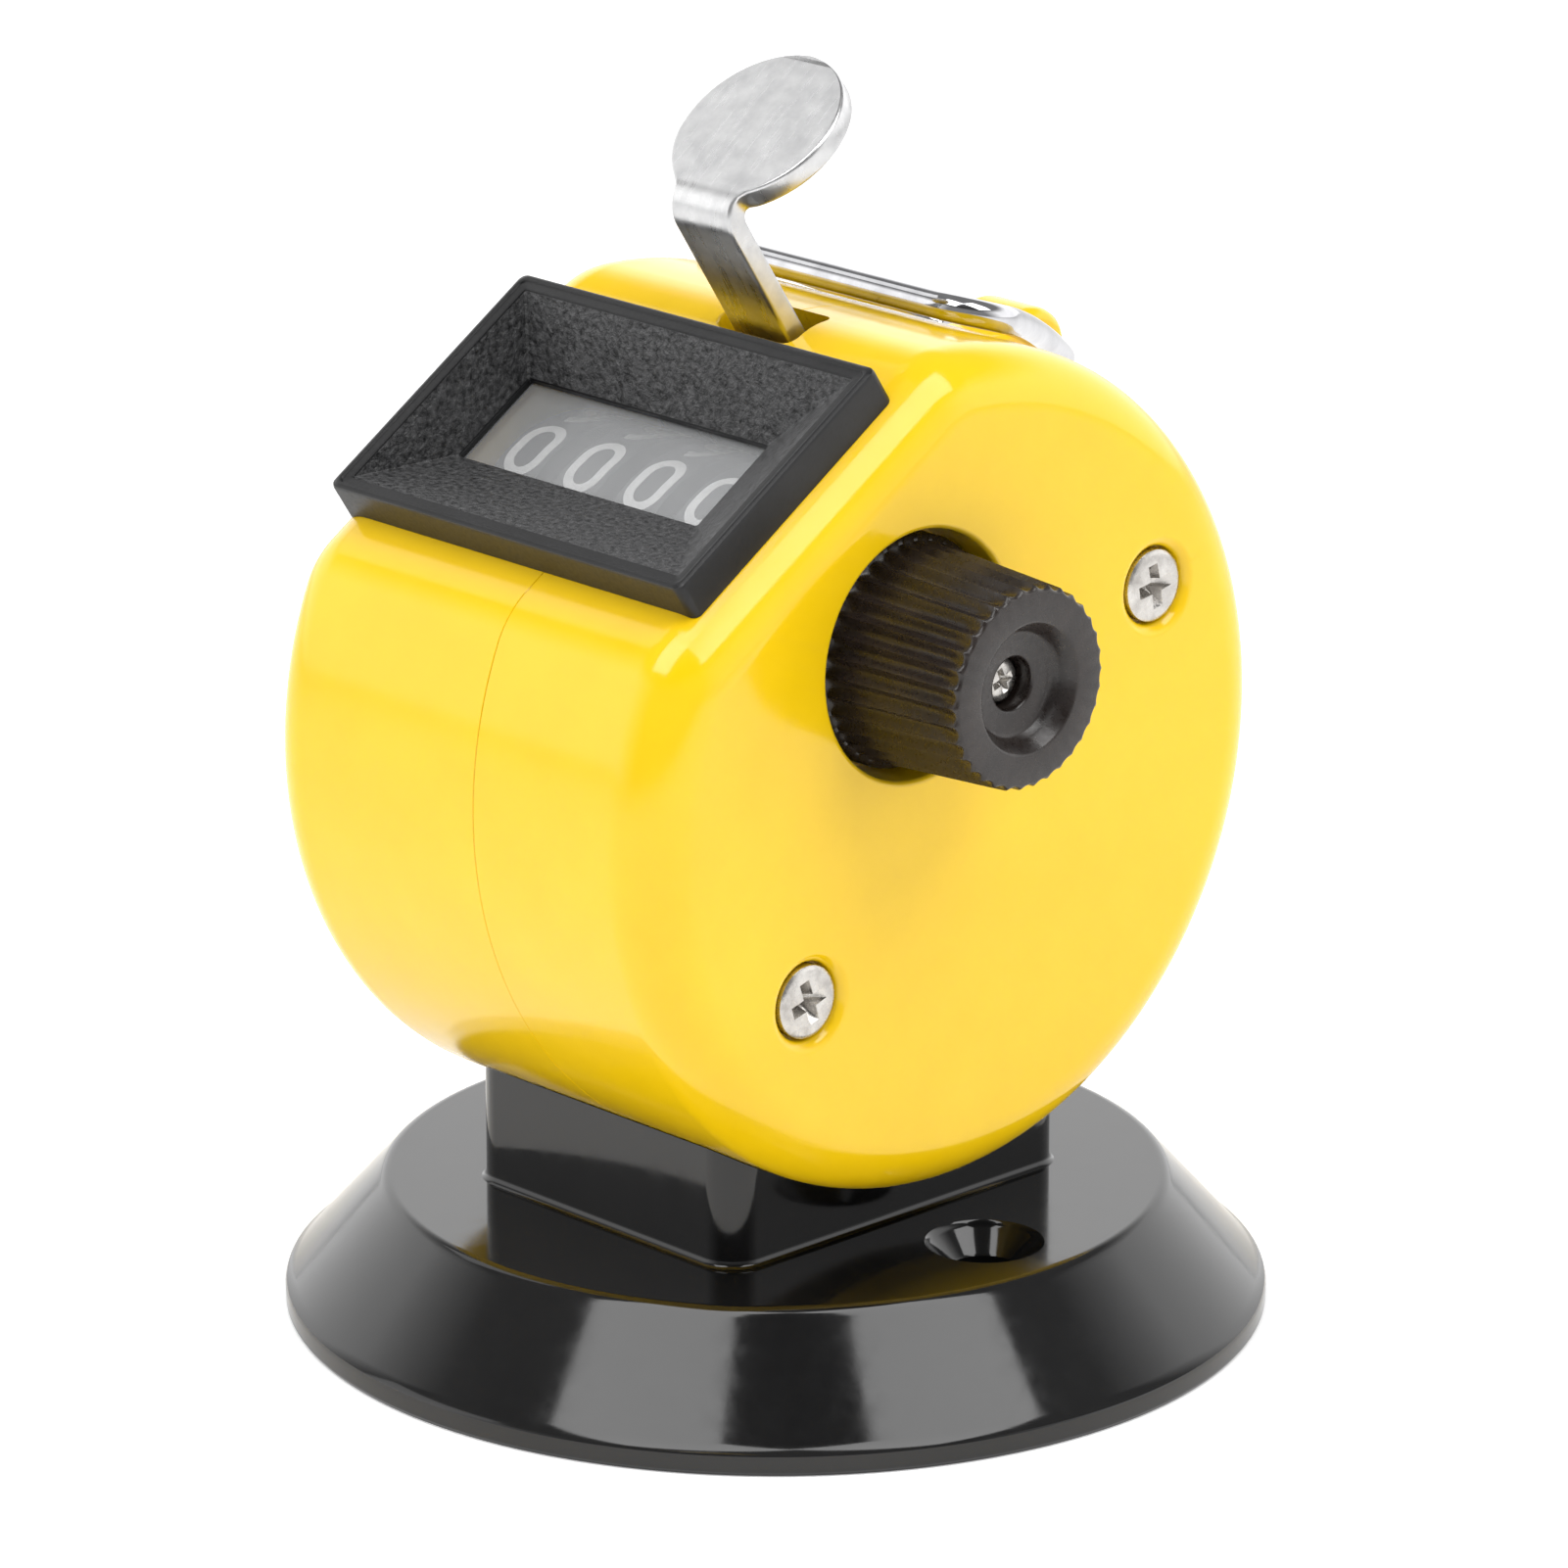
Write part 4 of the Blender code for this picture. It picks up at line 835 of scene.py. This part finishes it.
def build_screws():
    for node, turn in (("cover_screw_rear", 10.0), ("cover_screw_front", 17.0)):
        low, high = box_mm(node)
        middle = (low + high) / 2
        place = Matrix.Translation((high.x, middle.y, middle.z)) @ TOWARDS_X
        build_screw(node, COVER_SCREW, high.x - low.x, place, turn, "housing")
    for node, turn in (("stand_screw_left", 10.0), ("stand_screw_right", 40.0)):
        low, high = box_mm(node)
        middle = (low + high) / 2
        place = Matrix.Translation((middle.x, middle.y, low.z)) @ Matrix.Rotation(math.pi, 4, "X")
        build_screw(node, STAND_SCREW, high.z - low.z, place, turn, "housing", 0.3)
    low, high = box_mm("knob_screw")
    place = Matrix.Translation((high.x, SHAFT.y, SHAFT.z)) @ TOWARDS_X
    build_screw("knob_screw", KNOB_SCREW, high.x - low.x, place, 20.0, "reset")


# --- wheels, digits ---

def arc(middle, radii, start, end, steps=14):
    """Points on an ellipse's arc, angles in degrees from +u towards +v."""
    points = []
    for step in range(steps + 1):
        angle = math.radians(start + (end - start) * step / steps)
        points.append((middle[0] + radii[0] * math.cos(angle),
                       middle[1] + radii[1] * math.sin(angle)))
    return points


def digit_strokes(digit):
    """Centre lines of a plain numeral in a box 2 wide and 2 tall, as (points, closed)."""
    if digit == 0:
        flat = 0.36
        top = arc((0.0, flat), (1.0, 1.0 - flat), 0.0, 180.0)
        bottom = arc((0.0, -flat), (1.0, 1.0 - flat), 180.0, 360.0)
        return [(top + bottom, True)]
    if digit == 1:
        return [([(-0.55, 0.55), (0.1, 1.0), (0.1, -1.0)], False)]
    if digit == 2:
        top = arc((0.0, 0.45), (0.95, 0.55), 165.0, -35.0)
        return [(top + [(-0.95, -1.0), (1.0, -1.0)], False)]
    if digit == 3:
        upper = arc((0.0, 0.5), (0.85, 0.5), 160.0, -90.0)
        lower = arc((0.0, -0.5), (0.95, 0.5), 90.0, -160.0)
        return [(upper + lower[1:], False)]
    if digit == 4:
        return [([(0.5, -1.0), (0.5, 1.0), (-1.0, -0.4), (1.0, -0.4)], False)]
    if digit == 5:
        bowl = arc((0.0, -0.38), (0.95, 0.62), 120.0, -150.0)
        return [([(0.85, 1.0), (-0.75, 1.0), (-0.85, 0.1)] + bowl, False)]
    if digit == 6:
        loop = arc((0.0, -0.42), (0.95, 0.58), 0.0, 360.0, 24)[:-1]
        return [(loop, True), (arc((0.35, -0.42), (1.3, 1.42), 175.0, 95.0), False)]
    if digit == 7:
        return [([(-0.95, 1.0), (0.95, 1.0), (-0.25, -1.0)], False)]
    if digit == 8:
        upper = arc((0.0, 0.48), (0.78, 0.5), 0.0, 360.0, 24)[:-1]
        lower = arc((0.0, -0.48), (0.95, 0.52), 0.0, 360.0, 24)[:-1]
        return [(upper, True), (lower, True)]
    loop = arc((0.0, 0.42), (0.95, 0.58), 0.0, 360.0, 24)[:-1]
    return [(loop, True), (arc((-0.35, 0.42), (1.3, 1.42), -5.0, -85.0), False)]


def with_shorter_steps(points, longest, closed=False):
    """The same path with its long steps split evenly."""
    full = [points[0]]
    for point in points[1:] + (points[:1] if closed else []):
        start = full[-1]
        pieces = max(1, math.ceil((point - start).length / longest))
        for piece in range(1, pieces + 1):
            full.append(start.lerp(point, piece / pieces))
    return full[:-1] if closed else full


def stroke_sides(points, closed, half):
    """Left and right edge points of a line drawn with a pen of that half width."""
    count = len(points)
    sides = []
    for index, point in enumerate(points):
        before = points[index - 1] if index or closed else point
        after = points[(index + 1) % count] if index < count - 1 or closed else point
        first = Vector(point) - Vector(before)
        second = Vector(after) - Vector(point)
        if first.length < 1e-6:
            first = second
        if second.length < 1e-6:
            second = first
        first.normalize()
        second.normalize()
        ahead = first + second
        ahead = ahead.normalized() if ahead.length > 1e-6 else first
        normal = Vector((-ahead.y, ahead.x))
        reach = half / max(normal.dot(Vector((-first.y, first.x))), 0.5)
        centre = Vector(point)
        if not closed and index == 0:
            centre -= first * half
        if not closed and index == count - 1:
            centre += second * half
        sides.append((centre + normal * reach, centre - normal * reach))
    return sides


def build_digits(node, body):
    """Ten painted numerals round a wheel's band, zero under the window."""
    middle_x = middle_mm(node).x - RATCHET_WIDTH / 2
    face = Vector((0.0, -math.cos(FACET_TILT), math.sin(FACET_TILT)))
    half_u = (DIGIT_WIDTH - DIGIT_STROKE) / 2
    half_v = (DIGIT_HEIGHT - DIGIT_STROKE) / 2
    vertices = []
    faces = []
    for digit in range(10):
        turn = Matrix.Rotation(math.radians(36.0 * digit) - DIGIT_ADVANCE, 4, "X")
        for layer, (points, closed) in enumerate(digit_strokes(digit)):
            line = [Vector((u * half_u, v * half_v)) for u, v in points]
            line = with_shorter_steps(line, DIGIT_STEP, closed)
            sides = stroke_sides(line, closed, DIGIT_STROKE / 2)
            first = len(vertices)
            top = WHEEL_RADIUS + DIGIT_PROUD + DIGIT_LAYER * layer
            for pair in sides:
                for point in pair:
                    for radius in (top, WHEEL_RADIUS - DIGIT_SUNK):
                        lean = -point.y / WHEEL_RADIUS
                        spoke = Matrix.Rotation(lean, 4, "X") @ face
                        place = turn @ (spoke * radius)
                        vertices.append((middle_x + point.x, SHAFT.y + place.y, SHAFT.z + place.z))
            spans = len(sides) if closed else len(sides) - 1
            for span in range(spans):
                a = first + 4 * span
                b = first + 4 * ((span + 1) % len(sides))
                faces.append((a, b, b + 2, a + 2))
                faces.append((a + 1, a + 3, b + 3, b + 1))
                faces.append((a, a + 1, b + 1, b))
                faces.append((a + 2, b + 2, b + 3, a + 3))
            if not closed:
                last = first + 4 * (len(sides) - 1)
                faces.append((first, first + 2, first + 3, first + 1))
                faces.append((last, last + 1, last + 3, last + 2))
    digits = raw_piece(vertices, faces)
    publish(digits, node.replace("wheel", "digits"), "digit", body)


def build_wheel(node, body):
    """A digit band with its ratchet on the knob's side."""
    low, high = box_mm(node)
    band_low = low.x
    band_high = low.x + WHEEL_BAND
    steps = 160
    teeth = []
    for step in range(steps):
        share = (step * 10 / steps) % 1.0
        radius = RATCHET_TIP - (RATCHET_TIP - RATCHET_ROOT) * min(share / 0.75, (1.0 - share) / 0.25)
        angle = math.tau * step / steps
        teeth.append((radius * math.cos(angle), radius * math.sin(angle)))
    rings = [circle(radius, height, steps) for radius, height in (
        (WHEEL_BORE, band_low), (WHEEL_BORE + 1.2, band_low), (WHEEL_BORE + 1.3, band_low + 0.5),
        (WHEEL_RADIUS - 1.2, band_low + 0.5), (WHEEL_RADIUS - 1.1, band_low),
        (WHEEL_RADIUS - 0.15, band_low), (WHEEL_RADIUS - 0.04, band_low + 0.05),
        (WHEEL_RADIUS, band_low + 0.16), (WHEEL_RADIUS, band_high - 0.16),
        (WHEEL_RADIUS - 0.04, band_high - 0.05), (WHEEL_RADIUS - 0.15, band_high))]
    for height in (band_high, high.x):
        rings.append([Vector((u, v, height)) for u, v in teeth])
    rings.append(circle(WHEEL_BORE, high.x, steps))
    wheel = loft([[SHAFT_LINE @ point for point in ring] for ring in rings], True)
    publish(wheel, node + "_look", "wheel", body, [node], 28.0)
    build_digits(node, body)


# --- knob ---

def build_knob():
    """A tapered, fluted knob: skirt, long flutes, scalloped end and recess."""
    per_rib = 12
    steps = KNOB_RIBS * per_rib

    def ring(x, radius, flute=0.0):
        points = []
        for step in range(steps):
            wave = 0.5 + 0.5 * math.cos(math.tau * step / per_rib)
            reach = radius - flute * wave ** 0.55
            angle = math.tau * step / steps
            points.append(SHAFT_LINE @ Vector((reach * math.cos(angle), reach * math.sin(angle), x)))
        return points

    wide, narrow = KNOB_BODY
    length = KNOB_END - 0.35 - KNOB_BODY_X
    rings = [ring(KNOB_BACK, KNOB_BORE), ring(KNOB_BACK, KNOB_SKIRT - 0.2),
             ring(KNOB_BACK + 0.2, KNOB_SKIRT), ring(15.6, KNOB_SKIRT), ring(15.8, KNOB_SKIRT - 0.1),
             ring(KNOB_BODY_X, wide)]
    rings += [ring(KNOB_BODY_X + length * share, wide + (narrow - wide) * share, flute)
              for share, flute in KNOB_FLUTES]
    rings += [ring(KNOB_END - back, radius, flute) for back, radius, flute in KNOB_TIP]
    outer, inner = KNOB_SCREW_BORE
    seat, floor = KNOB_SCREW_X
    rings += [ring(KNOB_END - 1.6, outer), ring(seat, outer), ring(seat, inner), ring(floor, inner),
              ring(floor, KNOB_BORE)]
    publish(loft(rings, True), "reset_knob_look", "knob", "reset", ["reset_knob"], 50.0)


# --- thumb lever ---

def facet_yz(s, d):
    point = FACET @ Vector((0.0, s, d))
    return Vector((point.y, point.z))


def lever_path():
    """A function from distance to (point, direction) along the strip's front and
    the pad's top, with the strip's length, the bend's, and the way to the pad's middle."""
    start = facet_yz(LEVER_S, LEVER_STRIP_FOOT)
    rise = Vector((-math.cos(FACET_TILT), math.sin(FACET_TILT)))
    pad = Vector((math.cos(LEVER_PAD_RISE), math.sin(LEVER_PAD_RISE)))
    pad_middle = Vector(LEVER_PAD_MIDDLE)
    across = Vector((pad.y, -pad.x))
    corner = start + rise * ((pad_middle - start).dot(across) / rise.dot(across))
    turn = rise.angle(pad)
    tangent = LEVER_BEND * math.tan(turn / 2)
    rear = Vector((rise.y, -rise.x))
    centre = corner - rise * tangent + rear * LEVER_BEND
    straight = (corner - rise * tangent - start).length
    bend_length = LEVER_BEND * turn
    to_middle = (pad_middle - (corner + pad * tangent)).length
    middle_at = straight + bend_length + to_middle

    def at(distance):
        if distance <= straight:
            return start + rise * distance, rise
        if distance <= straight + bend_length:
            angle = (distance - straight) / LEVER_BEND
            ahead = rise * math.cos(angle) + rear * math.sin(angle)
            spoke = rise * (LEVER_BEND * math.sin(angle))
            return centre - rear * (LEVER_BEND * math.cos(angle)) + spoke, ahead
        return corner + pad * tangent + pad * (distance - straight - bend_length), pad

    return at, straight, bend_length, middle_at


def build_lever():
    """A bent strip that widens into a round pad, with its hidden frame below."""
    at, straight, bend_length, middle_at = lever_path()
    stations = [straight * step / 14 for step in range(14)]
    stations += [straight + bend_length * step / 14 for step in range(15)]
    meets = middle_at - math.sqrt(LEVER_PAD ** 2 - LEVER_HALF ** 2)
    clear = meets - PAD_BLEND
    joins = meets + PAD_OVERLAP
    stations += [clear * share + (straight + bend_length) * (1 - share) for share in (0.35, 0.7, 1.0)]
    stations += [clear + (PAD_BLEND + PAD_OVERLAP) * step / 8 for step in range(1, 9)]
    first_angle = math.acos((middle_at - stations[-1]) / LEVER_PAD)
    pad_steps = 44
    for step in range(1, pad_steps + 1):
        angle = first_angle + (PAD_END - first_angle) * step / pad_steps
        stations.append(middle_at - LEVER_PAD * math.cos(angle))

    def half_width(distance):
        if distance <= clear:
            return LEVER_HALF
        if distance <= joins:
            share = (distance - clear) / (joins - clear)
            target = math.sqrt(LEVER_PAD ** 2 - (joins - middle_at) ** 2)
            return LEVER_HALF + (target - LEVER_HALF) * share * share * share
        return math.sqrt(max(LEVER_PAD ** 2 - (distance - middle_at) ** 2, 0.0))

    def section(distance):
        point, ahead = at(distance)
        under = Vector((ahead.y, -ahead.x))
        half = half_width(distance)
        soft = min(LEVER_EDGE, half * 0.5)
        ring = []
        outline = []
        for corner_x, corner_t, start in ((1, 0, 90.0), (1, 1, 0.0), (-1, 1, -90.0), (-1, 0, 180.0)):
            for step in range(4):
                angle = math.radians(start - 90.0 * step / 3)
                centre_x = corner_x * (half - soft)
                centre_t = soft if corner_t == 0 else LEVER_THICK - soft
                outline.append((centre_x + soft * math.cos(angle),
                                centre_t - soft * math.sin(angle)))
        for x, depth in outline:
            place = point + under * depth
            ring.append(Vector((LEVER_X + x, place.x, place.y)))
        return ring

    lever = loft([section(distance) for distance in stations])
    publish(lever, "thumb_lever_look", "nickel", "lever", ["thumb_lever"], 40.0)
    build_lever_frame()


def build_lever_frame():
    """The lever's hidden parts: a cross plate, a long arm and a short ear."""
    rear = LEVER_S + LEVER_THICK
    bottom, top = LEVER_PLATE_D
    plate = block((LEVER_EAR_X[1] - 0.2, LEVER_S + 0.02, bottom),
                  (LEVER_ARM_X[1] - 0.2, rear - 0.02, top), FACET)
    arm = [*LEVER_ARM_LOWER, *(facet_yz(s, d) for s, d in (
        (rear + 0.1, 0.6), (rear + 0.1, 3.0), (rear + 0.2, 5.0), (rear + 0.2, 13.0),
        (LEVER_S - 1.6, 13.0), (LEVER_S - 1.9, 3.2))), *LEVER_ARM_UPPER]
    ear = [facet_yz(s, d) for s, d in (
        (LEVER_S + 0.1, 8.5), (rear - 0.1, 8.5), (rear + 0.1, 3.0), (LEVER_S - 0.1, 0.5),
        (LEVER_S - 2.0, 1.9))]
    pin = middle_mm("lever_pin")
    pawl = middle_mm("pawl_pin")
    join_on(plate, prism_x(arm, *LEVER_ARM_X), prism_x(ear, *LEVER_EAR_X))
    cut_away(plate, cylinder_x((pin.y, pin.z), LEVER_PIN_HOLE, 7.0, 11.0, 40),
             cylinder_x((pawl.y, pawl.z), PAWL_PIN_HOLE, -16.0, 11.0, 32))
    chamfer(plate, 0.12, 50.0, 1)
    publish(plate, "thumb_lever_frame_look", "nickel", "lever", [])


# --- bail ---

def bail_path():
    """The wire laid flat round the drum, its corners rounded, then wrapped."""
    end = BAIL_REST * BAIL_RADIUS
    root = HINGE_ANGLE * BAIL_RADIUS
    corners = [Vector(corner) for corner in (
        (BAIL_PIN_X[1], root), (BAIL_ROOT_X[1], root), (BAIL_X[1], end),
        (BAIL_X[0], end), (BAIL_ROOT_X[0], root), (BAIL_PIN_X[0], root))]
    radii = (BAIL_ROOT_CORNER, BAIL_CORNERS[1], BAIL_CORNERS[0], BAIL_ROOT_CORNER)
    flat = [corners[0]]
    for index, radius in enumerate(radii, 1):
        here = corners[index]
        back = (corners[index - 1] - here).normalized()
        ahead = (corners[index + 1] - here).normalized()
        half = back.angle(ahead) / 2
        first = here + back * (radius / math.tan(half))
        last = here + ahead * (radius / math.tan(half))
        centre = here + (back + ahead).normalized() * (radius / math.sin(half))
        total = (first - centre).angle(last - centre)
        steps = 16
        for step in range(steps + 1):
            share = step / steps
            spoke = ((first - centre) * math.sin((1 - share) * total)
                     + (last - centre) * math.sin(share * total))
            flat.append(centre + spoke / math.sin(total))
    flat.append(corners[-1])
    path = []
    for x, along in with_shorter_steps(flat, WIRE_STEP):
        share = min(max((along - end) / (root - end), 0.0), 1.0)
        beyond = max(abs(x) - BAIL_DROP_FROM, 0.0)
        lift = (HINGE_RADIUS - BAIL_RADIUS) * share * share
        radius = BAIL_RADIUS + lift - BAIL_DROP_RATE * beyond * beyond
        y, z = drum_point(along / BAIL_RADIUS, radius)
        path.append(Vector((x, y, z)))
    return path


def build_bail():
    wire = swept(bail_path(), WIRE, 28)
    publish(wire, "bail_look", "chrome", "bail", ["bail"], 40.0)


# --- carried-over nodes ---

def dress_inner_nodes():
    """Give the hidden CAD pieces that stay their own finishes."""
    looks = {
        "spring": ("lever_pin", "pawl_pin", "lever_spring", "detent_comb", "shaft_clip"),
        "nickel": ("wheel_shaft", "pawl_comb"), "zinc": ("detent_screw",)}
    for look, nodes in looks.items():
        for node in nodes:
            for material_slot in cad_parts[node].material_slots:
                material_slot.material = LOOK[look]


# --- camera, floor and light ---

TARGET = Vector((0.0, 0.0, 36.0))
CAMERA_AZIMUTH = math.radians(46.32)
CAMERA_HEIGHT = math.radians(17.6)
CAMERA_DISTANCE = 496.5
LENS = 189.9
SHIFT = (0.0053, -0.0355)
DIM_FROM = 0.15
DIM_FULL = 0.7
DIM_LEVEL = 0.2
WORLD_LOW = 1.75
WORLD_HIGH = 0.3
WORLD_BAND = (0.42, 0.62)
LIGHT_DISTANCE = 620.0
FLOOR_SIZE = 6.0
FLOOR_GLOW = 0.35


def direction(azimuth, lift):
    """Away from the object, azimuth turning from the display's side to the knob's."""
    return Vector((math.sin(azimuth) * math.cos(lift), -math.cos(azimuth) * math.cos(lift),
                   math.sin(lift)))


def build_camera():
    back = direction(CAMERA_AZIMUTH, CAMERA_HEIGHT)
    data = bpy.data.cameras.new("camera")
    data.lens = LENS
    data.sensor_width = 36.0
    data.shift_x, data.shift_y = SHIFT
    data.clip_start = 0.01
    data.clip_end = 50.0
    camera = add_object("camera", data)
    camera.location = (TARGET + back * CAMERA_DISTANCE) * MM
    camera.rotation_euler = back.to_track_quat("Z", "Y").to_euler()
    bpy.context.scene.camera = camera


def area_light(name, azimuth, elevation, size, radiance):
    """A softbox that faces the object; azimuth is measured from the camera's side."""
    away = direction(CAMERA_AZIMUTH + math.radians(azimuth), math.radians(elevation))
    data = bpy.data.lights.new(name, "AREA")
    data.shape = "RECTANGLE"
    data.size = size[0] * MM
    data.size_y = size[1] * MM
    data.energy = radiance * math.pi * data.size * data.size_y
    light = add_object(name, data)
    light.location = (TARGET + away * LIGHT_DISTANCE) * MM
    light.rotation_euler = away.to_track_quat("Z", "Y").to_euler()


def build_floor():
    steps = 8
    vertices = [(FLOOR_SIZE * (column / steps - 0.5), FLOOR_SIZE * (row / steps - 0.5), 0.0)
                for row in range(steps + 1) for column in range(steps + 1)]
    faces = []
    for row in range(steps):
        for column in range(steps):
            corner = row * (steps + 1) + column
            faces.append((corner, corner + 1, corner + steps + 2, corner + steps + 1))
    mesh = bpy.data.meshes.new("floor")
    mesh.from_pydata(vertices, [], faces)
    material = finish_material(
        "floor_look", (0.88, 0.88, 0.88), (0.9, 0.9, 0.9), (0.8, 0.9), 3.0, 40.0, 0.01, specular=0.1)
    shader = material.node_tree.nodes["Principled BSDF"]
    shader.inputs["Emission Color"].default_value = (1.0, 1.0, 1.0, 1.0)
    shader.inputs["Emission Strength"].default_value = FLOOR_GLOW
    mesh.materials.append(material)
    add_object("floor", mesh)


def build_world():
    """A white surround up to shoulder height, dimmer overhead and on the camera's side."""
    world = bpy.data.worlds.new("studio")
    world.use_nodes = True
    tree = world.node_tree
    around = tree.nodes.new("ShaderNodeTexCoord").outputs["Generated"]
    split = tree.nodes.new("ShaderNodeSeparateXYZ")
    facing = tree.nodes.new("ShaderNodeVectorMath")
    facing.operation = "DOT_PRODUCT"
    facing.inputs[1].default_value = direction(CAMERA_AZIMUTH, 0.0)
    shade = tree.nodes.new("ShaderNodeVectorMath")
    shade.operation = "MULTIPLY"
    tree.links.new(around, split.inputs["Vector"])
    tree.links.new(around, facing.inputs[0])
    upward = colour_between(
        tree, split.outputs["Z"], (WORLD_LOW,) * 3, (WORLD_HIGH,) * 3, *WORLD_BAND)
    forward = colour_between(
        tree, facing.outputs["Value"], (1.0, 1.0, 1.0), (DIM_LEVEL,) * 3, DIM_FROM, DIM_FULL)
    tree.links.new(upward, shade.inputs[0])
    tree.links.new(forward, shade.inputs[1])
    tree.links.new(shade.outputs["Vector"], tree.nodes["Background"].inputs["Color"])
    bpy.context.scene.world = world


def build_studio():
    build_camera()
    build_floor()
    build_world()
    area_light("softbox_left", -45.0, 61.0, (330.0, 420.0), 4.6)
    area_light("softbox_right", 57.0, 59.0, (330.0, 420.0), 4.6)
    area_light("softbox_back", -127.0, 46.0, (230.0, 230.0), 1.1)
    scene = bpy.context.scene
    scene.view_settings.view_transform = "Standard"
    scene.view_settings.look = "None"
    scene.view_settings.exposure = 0.0


# --- make ---

build_studio()
build_left_shell()
build_right_cover()
build_bezel()
build_window()
build_stand()
build_screws()
for wheel_node in WHEELS:
    build_wheel(wheel_node, wheel_node.replace("_wheel", ""))
build_knob()
build_lever()
build_bail()
dress_inner_nodes()
